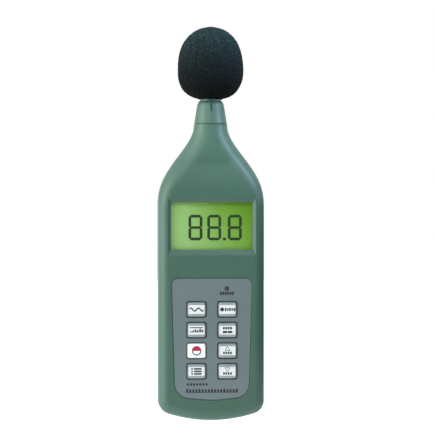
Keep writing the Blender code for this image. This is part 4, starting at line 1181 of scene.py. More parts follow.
@dataclass
class Keypad:
    """The printed panel, its lamp and the eight keys with their legends."""

    works: Workshop
    case: Case
    cap_front: float = field(init=False)
    panel_face: float = field(init=False)
    edge: float = 0.08 * MM          # round edge of the film
    crown: float = 0.07 * MM
    side_slope: tuple[float, float] = (1.6 * MM, 2.6 * MM)
    slope_depth: float = 0.6 * MM
    frame: float = 0.27 * MM         # outer reach of the dark ring round a key's opening, which is painted shade in the gap round the key
    field_size: tuple[float, float] = (9.5 * MM, 5.3 * MM)
    line: float = 0.55 * MM

    def __post_init__(self) -> None:
        """Takes the faces from the CAD frame."""
        self.cap_front = box_of("key_power")[0][1]
        self.panel_face = box_of("keypad_overlay")[0][1]

    def build_panel(self) -> None:
        """The film on its plate, with soft edges round it and round every opening."""
        back = box_of("keypad_overlay")[1][1]
        angle = np.radians(np.linspace(0.0, 90.0, 5))
        outlines = [self.case.panel_outline(-self.edge * (1 - np.sin(turn))) for turn in angle]
        depths = [self.panel_face + self.edge * (1 - np.cos(turn)) for turn in angle]
        panel = mesh_object("panel_film", lofted([*outlines, outlines[-1]], [*depths, back]))
        lamp = middle_of("status_led")[[0, 2]]
        holes = [lambda grow, x=x, z=z: self.case.key_opening(x, z, grow)
                 for x, z in self.case.key_centres().values()]
        holes.append(lambda grow: circle(lamp, self.case.lamp_hole + grow))
        carve(panel, joined(opening_tool(hole, self.panel_face, self.edge, back + MM)
                            for hole in holes))
        finish_piece(panel, self.works.panel, "case", ("keypad_overlay",))

    def build_lamp(self) -> None:
        """The unlit lamp: a domed lens on a flanged body."""
        x, _, z = middle_of("status_led")
        tip, foot = (corner[1] for corner in box_of("status_led"))
        flange = self.case.fit - self.case.half_depth + self.case.wall
        radius = 1.0 * MM
        rim = 1.5 * MM
        dome = arc((0.0, 0.0), radius, 90.0, 0.0, 12)
        profile = [(reach, tip + 0.7 * (radius - rise)) for reach, rise in dome]
        profile[0] = (0.0, tip)
        profile += [(radius, flange), (rim, flange), (rim, foot), (0.0, foot)]
        lamp = mesh_object("lamp_lens", turned(profile, (x, 0.0, z), Axis.Y, 48))
        finish_piece(lamp, self.works.lens, "case", ("status_led",))

    def key_shape(self, x: float, z: float) -> Shape:
        """One key: a crowned cap with sloping sides, a flange behind the wall and a plunger.

        The slope is a quarter ellipse: the cap is narrower by slope * (1 - sin a) where it lies
        depth * (1 - cos a) behind its edge, and a shallow crown fills the middle.

        Args:
            x: Middle of the cap.
            z: Middle of the cap.

        Returns:
            The key.
        """
        wide, high = self.case.key_size
        less_wide, less_high = self.side_slope
        corner = self.case.key_corner
        rim = self.cap_front + self.crown
        share = np.linspace(0.0, 1.0, 4)[:-1]
        outlines = [rounded_rectangle((wide - less_wide) * size, (high - less_high) * size,
                                      corner * size, x, z) for size in 0.35 + 0.65 * share]
        depths = [self.cap_front + self.crown * part ** 2 for part in share]
        for turn in np.radians(np.linspace(0.0, 90.0, 9)):
            taken = 1 - math.sin(turn)
            outlines.append(rounded_rectangle(wide - less_wide * taken, high - less_high * taken,
                                              corner, x, z))
            depths.append(rim + (self.slope_depth - self.crown) * (1 - math.cos(turn)))
        flange = self.case.fit - self.case.half_depth + self.case.wall
        behind = flange + 1.0 * MM
        lip = 2.2 * MM
        cap = (wide, high, corner)
        ledge = (wide + lip, high + lip, corner)
        plunger = (4.4 * MM, 4.4 * MM, 2.199 * MM)
        for size, depth in ((cap, flange), (ledge, flange), (ledge, behind), (plunger, behind),
                            (plunger, box_of("key_power")[1][1])):
            outlines.append(rounded_rectangle(*size, x, z))
            depths.append(depth)
        return lofted(outlines, depths)

    def triangle(self, x: float, z: float, way: int) -> list[np.ndarray]:
        """Three lines round an open triangle that points up (way 1) or down (way -1)."""
        corners = np.array([(x - 1.5 * MM, z - way * 1.0 * MM), (x, z + way * 1.2 * MM),
                            (x + 1.5 * MM, z - way * 1.0 * MM)])
        return [stroke(corners[[first, second]], 0.28 * MM)
                for first, second in ((0, 1), (1, 2), (2, 0))]

    def legend(self, sign: Legend, x: float, z: float) -> list[np.ndarray]:
        """Outlines of the dark ink of one legend.

        Args:
            sign: Which legend.
            x: Middle of the key.
            z: Middle of the key.

        Returns:
            The outlines, none of them lettering.
        """
        line = self.line
        if sign is Legend.WAVE:
            run = np.linspace(-4.2 * MM, 4.2 * MM, 81)
            wave = np.column_stack((x + run, z + 0.9 * MM * np.sin(run / (0.72 * MM))))
            return [stroke(wave, 0.75 * MM)]
        if sign is Legend.RECORD:
            marks = [arc((x - 3.2 * MM, z), 1.15 * MM, 0.0, 345.0, 24)]
            return marks + [bar(x - 1.1 * MM + step * 1.3 * MM, z, 0.95 * MM,
                                (1.9 - 0.5 * (step % 2)) * MM) for step in range(5)]
        if sign is Legend.PEAK:
            heights = (0.7, 1.2, 1.8, 1.3, 2.2, 1.5)
            marks = [bar(x + (step - 2.5) * 1.4 * MM, z - 1.35 * MM + size * MM / 2, 1.05 * MM,
                         size * MM) for step, size in enumerate(heights)]
            return marks + [bar(x, z + 1.45 * MM, 8.0 * MM, line)]
        if sign is Legend.SPEEDS:
            marks = [bar(x + (step - 1.5) * 1.45 * MM, z + 1.15 * MM, 1.1 * MM, 1.5 * MM)
                     for step in range(4)]
            return marks + [bar(x + side * 1.5 * MM, z - 1.15 * MM, 2.7 * MM, 1.3 * MM)
                            for side in (-1, 1)]
        if sign is Legend.LIST:
            marks = [bar(x - 2.7 * MM, z + step * 1.5 * MM, 0.95 * MM, 0.95 * MM)
                     for step in (-1, 0, 1)]
            return marks + [bar(x + 0.7 * MM, z + step * 1.5 * MM, 4.6 * MM, 0.95 * MM)
                            for step in (-1, 0, 1)]
        if sign in (Legend.RISE, Legend.FALL):
            way = 1 if sign is Legend.RISE else -1
            marks = self.triangle(x, z + 1.15 * MM, way)
            return marks + [bar(x + step * 1.4 * MM, z - 1.3 * MM, 1.0 * MM, 1.5 * MM)
                            for step in (-1.5, -0.5, 0.5, 1.5)]
        return []

    def build_keys(self) -> None:
        """All eight keys, each with its ink riding on it."""
        for name, (x, z) in sorted(self.case.key_centres().items()):
            sign = Legend(name)
            power = sign is Legend.POWER
            key = mesh_object(name + "_moulded", self.key_shape(x, z))
            look = self.works.power_key if power else self.works.key
            finish_piece(key, look, name, (name,), weighted=False)
            if power:
                self.build_power_sign(name, x, z)
                continue
            wide, high = self.field_size
            white = rounded_rectangle(wide, high, 0.5 * MM, x, z)
            lay_ink(name + "_field", printed(white, self.cap_front, 0.02 * MM),
                    self.works.inks[Ink.WHITE], name)
            marks = joined(printed(outline, self.cap_front, 0.04 * MM)
                           for outline in self.legend(sign, x, z))
            lay_ink(name + "_legend", marks, self.works.inks[Ink.DARK], name)

    def build_power_sign(self, name: str, x: float, z: float) -> None:
        """A circle on the power key, its upper half filled with red ink.

        Args:
            name: The key's body.
            x: Middle of the key.
            z: Middle of the key.
        """
        radius = 2.8 * MM
        line = 0.6 * MM
        upper = arc((x, z), radius, -2.0, 182.0, 40)
        lay_ink(name + "_upper_half", printed(upper, self.cap_front), self.works.inks[Ink.RED],
                name)
        lower = stroke(arc((x, z), radius - line / 2, 180.0, 360.0, 40), line)
        lay_ink(name + "_lower_line", printed(lower, self.cap_front, 0.028 * MM),
                self.works.inks[Ink.DARK], name)

    def build_marks(self) -> None:
        """Printing on the panel: level bars by the lamp, a graduated scale along the bottom, and
        dark rings round the key openings that are painted shade.
        """
        lamp_x, _, lamp_z = middle_of("status_led")
        marks = [bar(lamp_x + (step - 2.5) * 1.45 * MM, lamp_z - 2.8 * MM, 1.05 * MM, 1.9 * MM)
                 for step in range(6)]
        base = box_of("keypad_overlay")[0][2] + 5.2 * MM
        marks += [bar((step - 8) * 1.85 * MM, base + 0.5 * MM, 1.1 * MM,
                      (2.2 if step % 4 == 0 else 1.5) * MM) for step in range(17)]
        marks.append(bar(0.0, base - 0.5 * MM, 30.7 * MM, 0.4 * MM))
        marks += [bar(-14.3 * MM + step * 1.85 * MM, base + 4.2 * MM, 1.2 * MM, 1.4 * MM)
                  for step in range(7)]
        # Dark rings round the key openings: painted shade that darkens the gaps round the keys.
        gap_shade_rings = [printed_ring(self.case.key_opening(x, z, self.frame),
                               self.case.key_opening(x, z, self.edge), self.panel_face)
                  for x, z in self.case.key_centres().values()]
        films = gap_shade_rings + [printed(outline, self.panel_face) for outline in marks]
        lay_ink("panel_marks_and_gap_shade", joined(films), self.works.inks[Ink.DARK], "case")

    def build(self) -> None:
        """Builds the panel, the lamp, the keys and the printing."""
        self.build_panel()
        self.build_lamp()
        self.build_keys()
        self.build_marks()
        dress("keypad_mat", self.works.rubber, "mat_rubber")


@dataclass
class Display:
    """The liquid-crystal display, which shows three digits and a point."""

    works: Workshop
    middle: float = 115.0 * MM
    half_width: float = 4.15 * MM
    half_height: float = 7.6 * MM
    line: float = 1.6 * MM
    cut: float = 1.5 * MM            # outer corner of a digit
    space: float = 0.05 * MM         # between two segments
    digit_places: tuple[float, ...] = (-9.6 * MM, 1.6 * MM, 13.9 * MM)
    point_place: tuple[float, float] = (7.7 * MM, 108.2 * MM)
    point_size: float = 1.7 * MM

    def segments(self, x: float) -> list[np.ndarray]:
        """The seven segments of one digit, with cut outer corners and pointed middle joints.

        Args:
            x: Middle of the digit.

        Returns:
            An outline for each segment.
        """
        wide, high, line, cut, gap = (self.half_width, self.half_height, self.line, self.cut,
                                      self.space)
        across = np.array([(-wide + cut / 2 + gap, high - cut / 2), (-wide + cut + gap, high),
                           (wide - cut - gap, high), (wide - cut / 2 - gap, high - cut / 2),
                           (wide - line - gap, high - line), (-wide + line + gap, high - line)])
        upright = np.array([(wide - cut / 2, high - cut / 2 - gap), (wide, high - cut - gap),
                            (wide, line / 2 + gap), (wide - line / 2, gap),
                            (wide - line, line / 2 + gap), (wide - line, high - line - gap)])
        bar_half = line / 2 - gap
        middle = np.array([(-wide + line / 2 + gap, 0.0), (-wide + line + gap, bar_half),
                           (wide - line - gap, bar_half), (wide - line / 2 - gap, 0.0),
                           (wide - line - gap, -bar_half), (-wide + line + gap, -bar_half)])
        shapes = [across, across * (1, -1), middle]
        shapes += [upright * (side, up) for side in (-1, 1) for up in (-1, 1)]
        return [shape + (x, self.middle) for shape in shapes]

    def build(self) -> None:
        """Segments between the glass and the window, and the dressed parts of the stack."""
        face = box_of("lcd_glass")[0][1] - 0.02 * MM
        outlines = [outline for x in self.digit_places for outline in self.segments(x)]
        outlines.append(rounded_rectangle(self.point_size, self.point_size, 0.35 * MM,
                                          *self.point_place, steps=3))
        lay_ink("display_segments", joined(printed(outline, face, 0.05 * MM)
                                           for outline in outlines), self.works.segment, "case")
        for node, look, slot in (("lcd_window", self.works.window, "window_acrylic"),
                                 ("lcd_glass", self.works.display, "display_glass"),
                                 ("lcd_reflector", self.works.reflector, "reflector_sheet"),
                                 ("lcd_contact_lower", self.works.zebra, "contact_rubber"),
                                 ("lcd_contact_upper", self.works.zebra, "contact_rubber"),
                                 ("lcd_holder", self.works.black, "black_plastic")):
            dress(node, look, slot)


# ---------------------------------------------------------------- microphone and windscreen

def scattered(cell: np.ndarray) -> np.ndarray:
    """Three random-looking shares from 0 to 1 for each cube of a lattice.

    The cube's numbers are multiplied by large primes, mixed by exclusive-or and shifts, and cut to
    16 bits three times over, so the same cube always gives the same shares.

    Args:
        cell: Integer array of n by 3.

    Returns:
        Array of n by 3.
    """
    mixed = (cell[:, 0] * 73856093) ^ (cell[:, 1] * 19349663) ^ (cell[:, 2] * 83492791)
    shares = []
    for prime in (2246822519, 3266489917, 668265263):
        mixed = (mixed ^ (mixed >> 15)) * prime & 0xFFFFFFFF
        shares.append((mixed >> 8 & 0xFFFF) / 0xFFFF)
    return np.column_stack(shares)


def cell_depth(points: np.ndarray, pitch: float) -> np.ndarray:
    """How far each point lies from the middle of its foam cell, as a share of the pitch.

    One middle lies at random in each cube of a lattice, and a point takes the nearest of the
    middles in its own cube and the 26 round it.

    Args:
        points: Array of n by 3.
        pitch: Side of a cube.

    Returns:
        Array of n shares, 0 in the middle of a cell.
    """
    place = points / pitch
    cube = np.floor(place).astype(np.int64)
    nearest = np.full(len(points), np.inf)
    for shift in np.ndindex(3, 3, 3):
        cell = cube + np.array(shift) - 1
        nearest = np.minimum(nearest, np.linalg.norm(cell + scattered(cell) - place, axis=1))
    return nearest


@dataclass
class Windscreen:
    """Foam ball over the microphone: an egg of revolution, bored from below."""

    works: Workshop
    widest_share: float = 0.44
    foot_power: float = 2.75
    crown_power: float = 2.15
    cell: float = 1.25 * MM
    cell_depth: float = 0.55 * MM
    strut_start: float = 0.75        # distance from a cell's middle, in cells
    lumps: float = 0.25 * MM
    waves: tuple[tuple[float, float, float], ...] = (
        (0.31, 0.12, 0.22), (-0.17, 0.35, 0.10), (0.09, -0.23, 0.33))   # radians per millimetre
    # Painted light: struts paler towards the top of the ball and darker towards its bottom.
    painted_top_light: float = 1.3
    painted_top_light_power: float = 1.9
    steps: int = 380
    rows: int = 210
    bore: float = 6.6 * MM
    mouth: float = 7.2 * MM
    roof: float = field(init=False)

    def __post_init__(self) -> None:
        """Takes the bore's roof from the top of the microphone."""
        self.roof = box_of("mic_grid")[1][2] + 0.6 * MM

    def profile(self) -> tuple[np.ndarray, np.ndarray]:
        """The bore with its rounded mouth, and the skin, as (radius, height).

        The skin is two superellipses that meet at the widest height: radius = R * (1 - share **
        power) ** (1 / power), where share is the height's distance from the widest place over its
        distance to the foot or the crown.

        Returns:
            The points from the middle of the roof to the mouth, and from there to the crown.
        """
        low, high = box_of("windscreen")
        radius, foot, crown = high[0], low[2], high[2]
        widest = foot + self.widest_share * (crown - foot)
        turn = np.linspace(-math.pi / 2, math.pi / 2, self.rows)
        share = np.abs(np.sin(turn))
        power = np.where(turn < 0, self.foot_power, self.crown_power)
        reach = np.where(turn < 0, widest - foot, crown - widest)
        skin_radius = radius * np.maximum(1 - share ** power, 0.0) ** (1 / power)
        skin = np.column_stack((skin_radius, widest + np.sign(turn) * reach * share))
        rim = 0.9 * MM
        lip = self.mouth + 0.3 * MM
        skin = skin[(turn > 0) | (skin_radius > lip)]
        wall = np.column_stack((np.full(26, self.bore), np.linspace(self.roof, foot + rim, 26)))
        corner = arc((lip, foot + rim), rim, 180.0, 270.0, 5)
        inside = [(0.0, self.roof), (self.bore * 0.5, self.roof)]
        return np.concatenate((inside, wall, corner[1:-1])), skin

    def build(self) -> None:
        """Turns the profile and sinks the cells into it along the surface's own direction.

        The attribute "strut" is how far a point stands up between the cells, times
        painted_top_light * height
        share ** power, which is painted light: the struts are paler towards the top and darker
        towards the bottom.
        """
        inside, skin = self.profile()
        profile = np.concatenate((inside, skin))
        along = np.gradient(profile, axis=0)
        along /= np.maximum(np.linalg.norm(along, axis=1, keepdims=True), 1e-12)
        outward = np.column_stack((along[:, 1], -along[:, 0]))
        shape = turned(profile, steps=self.steps)
        facing = turned(outward, steps=self.steps).points
        strut = np.clip(cell_depth(shape.points, self.cell) / self.strut_start, 0.0, 1.0)
        swell = sum(np.sin(shape.points @ np.array(wave) / MM) for wave in self.waves) / 3
        fade = np.clip(np.repeat(profile[:, 0], self.steps) / (3 * MM), 0.0, 1.0)
        outside = np.repeat(np.arange(len(profile)) >= len(inside), self.steps)
        push = (strut - 1.0) * self.cell_depth + np.where(outside, swell - 1.0, 0.0) * self.lumps
        shape.points = shape.points + facing * (push * fade)[:, None]
        height = shape.points[:, 2]
        rise = (height - height.min()) / np.ptp(height)
        # The strut attribute carries painted light, paler towards the top.
        ball = mesh_object("windscreen_foam_ball", shape,
                           strut=strut * self.painted_top_light * rise ** self.painted_top_light_power)
        finish_piece(ball, self.works.foam, "windscreen", ("windscreen",),
                     crease=180.0, weighted=False)


@dataclass
class Microphone:
    """The neck's collar, the sleeve, the barrel and the pierced cap of the microphone."""

    works: Workshop
    taper: float = 2.1 * MM
    shoulder: float = 0.9 * MM
    shoulder_power: float = 12.0
    shoulder_face: float = 176.84 * MM   # just above the neck's rim
    slot_width: float = 0.9 * MM
    slot_length: float = 6.6 * MM

    def build_collar(self) -> None:
        """Collar: its radius falls by taper * share + shoulder * share ** 12 up its height."""
        low, high = box_of("mic_collar")
        wide, foot, top = high[0], low[2], high[2]
        base = foot + 10.0 * MM
        edge = base + 0.2 * MM
        bore = 6.6 * MM
        spigot = 7.5 * MM
        step = wide - 0.75 * MM
        share = np.linspace(0.0, 1.0, 33)
        radius = wide - self.taper * share - self.shoulder * share ** self.shoulder_power
        profile = [(bore, foot), (spigot, foot), (spigot, self.shoulder_face),
                   (step, self.shoulder_face), (step, base), (wide - 0.2 * MM, base),
                   (wide - 0.06 * MM, base + 0.06 * MM),
                   *zip(radius, edge + (top - edge) * share), (bore, top)]
        collar = mesh_object("mic_collar_moulded", turned(profile, ring=True))
        floor = -(wide - self.taper * 0.75) + 1.2 * MM
        slot = rounded_rectangle(self.slot_width, self.slot_length * 2, self.slot_width * 0.45,
                                 0.0, top, steps=6)
        carve(collar, prism(slot, -wide - 2 * MM, floor))
        finish_piece(collar, self.works.case, "case", ("mic_collar",))

    def build_sleeve(self) -> None:
        """Plastic sleeve that stands out of the collar, with soft edges on top."""
        low, high = box_of("mic_sleeve")
        radius, base, top = high[0], low[2], high[2]
        bore = radius - 1.0 * MM
        edge = 0.25 * MM
        round_edge = arc((radius - edge, top - edge), edge, 0.0, 90.0, 5)
        profile = [(bore, base), (radius, base), *map(tuple, round_edge), (bore, top)]
        sleeve = mesh_object("mic_sleeve_moulded", turned(profile, ring=True))
        finish_piece(sleeve, self.works.sleeve, "case", ("mic_sleeve",))

    def build_barrel(self) -> None:
        """Turned barrel with two fine grooves, and its spigot in the sleeve."""
        low, high = box_of("mic_barrel")
        radius, base, top = high[0], low[2], high[2]
        spigot = 5.0 * MM
        shoulder = base + 8.0 * MM
        groove = 0.3 * MM
        bottom = radius - groove * 0.7
        edge = 0.15 * MM
        skin = [(radius - edge, shoulder), (radius, shoulder + edge)]
        for height in (shoulder + 2.0 * MM, top - 2.0 * MM):
            skin += [(radius, height - groove), (bottom, height - groove * 0.5),
                     (bottom, height + groove * 0.5), (radius, height + groove)]
        skin += [(radius, top - edge), (radius - edge, top)]
        wall = 0.8 * MM
        profile = [(spigot - wall, base), (spigot, base), (spigot, shoulder), *skin,
                   (radius - wall, top), (radius - wall, shoulder + wall),
                   (spigot - wall, shoulder + wall)]
        barrel = mesh_object("mic_barrel_turned", turned(profile, ring=True))
        finish_piece(barrel, self.works.microphone, "case", ("mic_barrel",))

    def build_grid(self) -> None:
        """Cap over the capsule, with one hole in its middle and six round it."""
        low, high = box_of("mic_grid")
        radius, base, top = high[0], low[2], high[2]
        edge = 0.6 * MM
        wall = 0.8 * MM
        corner = arc((radius - edge, top - edge), edge, 0.0, 90.0, 7)
        profile = [(radius - 0.1 * MM, base), (radius, base + 0.1 * MM),
                   *map(tuple, corner), (0.0, top), (0.0, top - wall),
                   (radius - wall, top - wall), (radius - wall, base)]
        grid = mesh_object("mic_grid_pierced", turned(profile, ring=True))
        hole = 0.7 * MM
        mouth = 0.95 * MM
        drill = ((0.0, -2 * MM), (hole, -2 * MM), (hole, -0.15 * MM), (mouth, 0.1 * MM),
                 (mouth, MM), (0.0, MM))
        places = [(0.0, 0.0), *circle((0.0, 0.0), 0.42 * radius, 6)]
        carve(grid, joined(turned(drill, (x, y, top), steps=24) for x, y in places))
        finish_piece(grid, self.works.microphone, "case", ("mic_grid",))

    def build(self) -> None:
        """Builds the turned and moulded pieces, and dresses the capsule."""
        self.build_collar()
        self.build_sleeve()
        self.build_barrel()
        self.build_grid()
        dress("mic_capsule", self.works.microphone, "microphone_steel")


# ---------------------------------------------------------------- the back's fittings

@dataclass
class BackFittings:
    """Case screws, the threaded tripod insert and the output jack."""

    works: Workshop
    thread_pitch: float = 1.27 * MM
    thread_root: float = 3.18 * MM
    thread_depth: float = 0.5 * MM

    def build_screws(self) -> None:
        """Four pan-head screws, each with a cross recess that narrows as it goes down."""
        for number in range(1, 5):
            name = f"case_screw_{number}"
            low, high = box_of(name)
            x, _, z = middle_of(name)
            tip, top = low[1], high[1]
            head = high[0] - x
            seat = top - 2.0 * MM
            shank = 1.25 * MM
            dome = [(head * math.cos(turn), seat + 0.9 * MM + 1.1 * MM * math.sin(turn))
                    for turn in np.radians(np.linspace(0.0, 90.0, 9))]
            dome[-1] = (0.0, top)
            profile = [(0.0, tip), (0.5 * MM, tip), (shank, tip + 1.2 * MM), (shank, seat),
                       (head, seat), *dome]
            screw = mesh_object(name + "_turned", turned(profile, (x, 0.0, z), Axis.Y, 48))
            for long_way in (False, True):
                outlines = []
                for grow in (0.0, 0.0, -0.22 * MM):
                    size = (3.0 * MM + 2 * grow, 0.75 * MM + grow)
                    outlines.append(rounded_rectangle(*(size[::-1] if long_way else size),
                                                      0.12 * MM, x, z, steps=3))
                carve(screw, lofted(outlines, (top + MM, top - 0.1 * MM, top - 1.2 * MM)))
            finish_piece(screw, self.works.screw, "case", (name,), weighted=False)

    def build_insert(self) -> None:
        """Brass insert: its bore is a helical thread, a triangle wave of height and angle.

        The bore's radius is root - depth * (1 - |2 t - 1|), where t is the fractional part of
        height / pitch - angle / (2 pi).
        """
        low, high = box_of("tripod_insert")
        x, _, z = middle_of("tripod_insert")
        front, back = low[1], high[1]
        radius = high[0] - x
        steps = 72
        height = np.linspace(front, back - 0.4 * MM, 121)[:, None]
        angle = np.linspace(0.0, 2 * math.pi, steps, endpoint=False)[None, :]
        turn = np.mod(height / self.thread_pitch - angle / (2 * math.pi), 1.0)
        bore = self.thread_root - self.thread_depth * (1 - np.abs(2 * turn - 1))
        rows = [(bore, np.broadcast_to(height, bore.shape))]
        for size, place in ((self.thread_root + 0.25 * MM, back), (radius - 0.15 * MM, back),
                            (radius, back - 0.15 * MM), (radius, front)):
            rows.append((np.full((1, steps), size), np.full((1, steps), place)))
        radii = np.concatenate([row[0] for row in rows])
        heights = np.concatenate([row[1] for row in rows])
        points = np.stack((x + radii * np.cos(angle), heights, z + radii * np.sin(angle)), axis=-1)
        insert = mesh_object("tripod_insert_threaded", sheet(points, True, True))
        finish_piece(insert, self.works.brass, "case", ("tripod_insert",))

    def build_jack(self) -> None:
        """Output socket: a black barrel with a dished mouth and a sprung contact inside."""
        low, high = box_of("output_jack")
        _, y, z = middle_of("output_jack")
        inner, outer = low[0], high[0]
        radius = high[2] - z
        bore = 1.8 * MM
        profile = [(bore, inner), (radius, inner), (radius, outer - 0.2 * MM),
                   (radius - 0.2 * MM, outer), (bore + 0.35 * MM, outer), (bore, outer - 0.35 * MM)]
        centre = (0.0, y, z)
        jack = mesh_object("output_jack_moulded", turned(profile, centre, Axis.X, 64, ring=True))
        finish_piece(jack, self.works.black, "case", ("output_jack",))
        thin, thick = bore - 0.25 * MM, bore - 0.02 * MM
        end, start = outer - 3.0 * MM, outer - 1.6 * MM
        ring = [(thin, end), (thick, end), (thick, start), (thin, start)]
        contact = mesh_object("output_jack_contact", turned(ring, centre, Axis.X, 48, ring=True))
        finish_piece(contact, self.works.spring, "case")

    def build(self) -> None:
        """Builds them all."""
        self.build_screws()
        self.build_insert()
        self.build_jack()


@dataclass
class BatteryBay:
    """The tray with its cradles, four cells that lie head to tail, springs and contacts."""

    works: Workshop
    cells: int = 4
    cell_radius: float = 5.25 * MM
    nub_radius: float = 1.9 * MM
    nub_length: float = 0.8 * MM
    sides: int = 64
    wire_radius: float = 0.3 * MM
    coils: int = 4
    clearance: float = 0.35 * MM
    cradle_places: tuple[float, ...] = (26 * MM, 45 * MM)
    cradle_length: float = 5.0 * MM

    def build_tray(self) -> None:
        """Open box with a soft rim, and pointed cradles between the cells.

        A cradle's top between two cells lies at axis - sqrt(r^2 - (pitch / 2 - |t|)^2), where t is
        the distance from the middle between them and r the cell's radius plus its clearance.
        """
        low, high = box_of("battery_tray")
        width, _, height = high - low
        middle = middle_of("battery_tray")[2]
        wall = 1.2 * MM
        floor = low[1] + wall
        tray = mesh_object("battery_tray_moulded", prism(
            rounded_rectangle(width, height, 0.8 * MM, z=middle), low[1], high[1]))
        carve(tray, opening_tool(
            lambda grow: rounded_rectangle(width - 2 * (wall - grow), height - 2 * (wall - grow),
                                           0.6 * MM, z=middle), high[1], 0.3 * MM, floor))
        axis = middle_of("battery_1")[1]
        centres = [middle_of(f"battery_{number}")[0] for number in range(1, self.cells + 1)]
        pitch = (centres[-1] - centres[0]) / (self.cells - 1)
        reach = np.linspace(-2.4 * MM, 2.4 * MM, 25)
        rise = axis - np.sqrt((self.cell_radius + self.clearance) ** 2
                              - (pitch / 2 - np.abs(reach)) ** 2)
        cradles = []
        for left, right in zip(centres, centres[1:]):
            section = np.column_stack((np.concatenate((reach, reach[[-1, 0]])) + (left + right) / 2,
                                       np.concatenate((rise, [floor - 0.3 * MM] * 2))))
            cradles += [prism(section, place, place + self.cradle_length).raised()
                        for place in self.cradle_places]
        carve(tray, joined(cradles), Carving.ADD)
        finish_piece(tray, self.works.black, "case", ("battery_tray",))

    def build_cell(self, number: int) -> None:
        """One dry cell: a jacket with rolled ends, a raised cap and the printed label.

        Args:
            number: Which cell, from 1.
        """
        name = f"battery_{number}"
        low, high = box_of(name)
        x, y, _ = middle_of(name)
        start, way = (low[2], 1) if number % 2 == 1 else (high[2], -1)
        length = high[2] - low[2]
        shoulder = length - self.nub_length
        radius = self.cell_radius
        edge = 0.5 * MM
        foot = arc((radius - edge, edge), edge, -90.0, 0.0, 6)
        head = arc((radius - edge, shoulder - edge), edge, 0.0, 90.0, 6)
        nub = self.nub_radius
        bend = 0.2 * MM
        crimp = [(radius - 6 * bend, shoulder), (radius - 7 * bend, shoulder - bend),
                 (nub + 3 * bend, shoulder - bend), (nub + bend, shoulder),
                 (nub, shoulder + bend / 2), (nub, length - bend), (nub - bend, length),
                 (0.0, length)]
        skin = np.linspace(foot[-1], head[0], 40)[1:-1]
        profile = [(0.0, 0.0), (radius * 0.5, 0.0), *map(tuple, foot), *map(tuple, skin),
                   *map(tuple, head), *crimp]
        placed = [(size, start + way * height) for size, height in profile]
        along = np.repeat([min(height / shoulder, 1.0) for _, height in profile], self.sides)
        cell = mesh_object(name + "_jacketed", turned(placed, (x, y, 0.0), steps=self.sides),
                           along=along)
        finish_piece(cell, self.works.jacket, "case", (name,))

    def build_spring(self, number: int) -> None:
        """One cell spring: round wire on a helix that narrows a little towards the cell.

        The wire's middle is at (R cos a, R sin a, rise), where the rise is flat at both ends. Its
        skin lies at the wire's radius round that, in the plane through the axis.

        Args:
            number: Which spring, from 1.
        """
        name = f"battery_spring_{number}"
        low, high = box_of(name)
        x, y, _ = middle_of(name)
        base, top = low[2], high[2]
        wire = self.wire_radius
        reach = high[0] - x - wire
        turn = np.linspace(0.0, 2 * math.pi * self.coils, 48 * self.coils + 1)[:, None]
        share = turn / turn[-1]
        narrow = share if number % 2 == 1 else 1 - share
        radius = reach * (1 - 0.35 * narrow)
        rise = base + wire + (top - base - 2 * wire) * ease((share - 0.08) / 0.84)
        side = np.linspace(0.0, 2 * math.pi, 10, endpoint=False)[None, :]
        out = radius + wire * np.cos(side)
        points = np.stack((x + out * np.cos(turn), y + out * np.sin(turn),
                           rise + wire * np.sin(side)), axis=-1)
        spring = mesh_object(name + "_wound", capped(points))
        finish_piece(spring, self.works.spring, "case", (name,), weighted=False)

    def build(self) -> None:
        """Builds the bay and dresses its contacts."""
        self.build_tray()
        for number in range(1, self.cells + 1):
            self.build_cell(number)
            self.build_spring(number)
            dress(f"battery_contact_{number}", self.works.spring, "spring_steel")


@dataclass
class Electronics:
    """Circuit boards and their parts, which stay as the CAD has them under new materials."""

    works: Workshop

    def build(self) -> None:
        """Dresses each node."""
        for node, look, slot in (("main_board", self.works.board, "board_laminate"),
                                 ("preamp_board", self.works.board, "board_laminate"),
                                 ("processor_chip", self.works.black, "black_plastic"),
                                 ("board_header", self.works.black, "black_plastic"),
                                 ("gain_trimmer", self.works.trimmer, "trimmer_plastic"),
                                 ("capacitor_1", self.works.capacitor, "capacitor_sleeve"),
                                 ("capacitor_2", self.works.capacitor, "capacitor_sleeve"),
                                 ("quartz_crystal", self.works.can, "can_metal")):
            dress(node, look, slot)


# ---------------------------------------------------------------- studio

@dataclass(frozen=True)
class SoftLight:
    """A rectangular soft light: watts, metres, what it looks at and its beam's angle in degrees."""

    name: str
    power: float
    size: tuple[float, float]
    place: tuple[float, float, float]
    target: tuple[float, float, float]
    colour: str = "#ffffff"
    spread: float = 180.0

    def hang(self) -> None:
        """Hangs it where the camera doesn't see it."""
        lamp = bpy.data.lights.new(self.name, "AREA")
        lamp.shape = "RECTANGLE"
        lamp.size, lamp.size_y = self.size
        lamp.energy = self.power
        lamp.spread = math.radians(self.spread)
        lamp.color = linear(self.colour)[:3]
        hung = bpy.data.objects.new(self.name, lamp)
        hung.location = self.place
        direction = Vector(self.target) - Vector(self.place)
        hung.rotation_euler = direction.to_track_quat("-Z", "Y").to_euler()
        hung.visible_camera = False
        bpy.context.scene.collection.objects.link(hung)


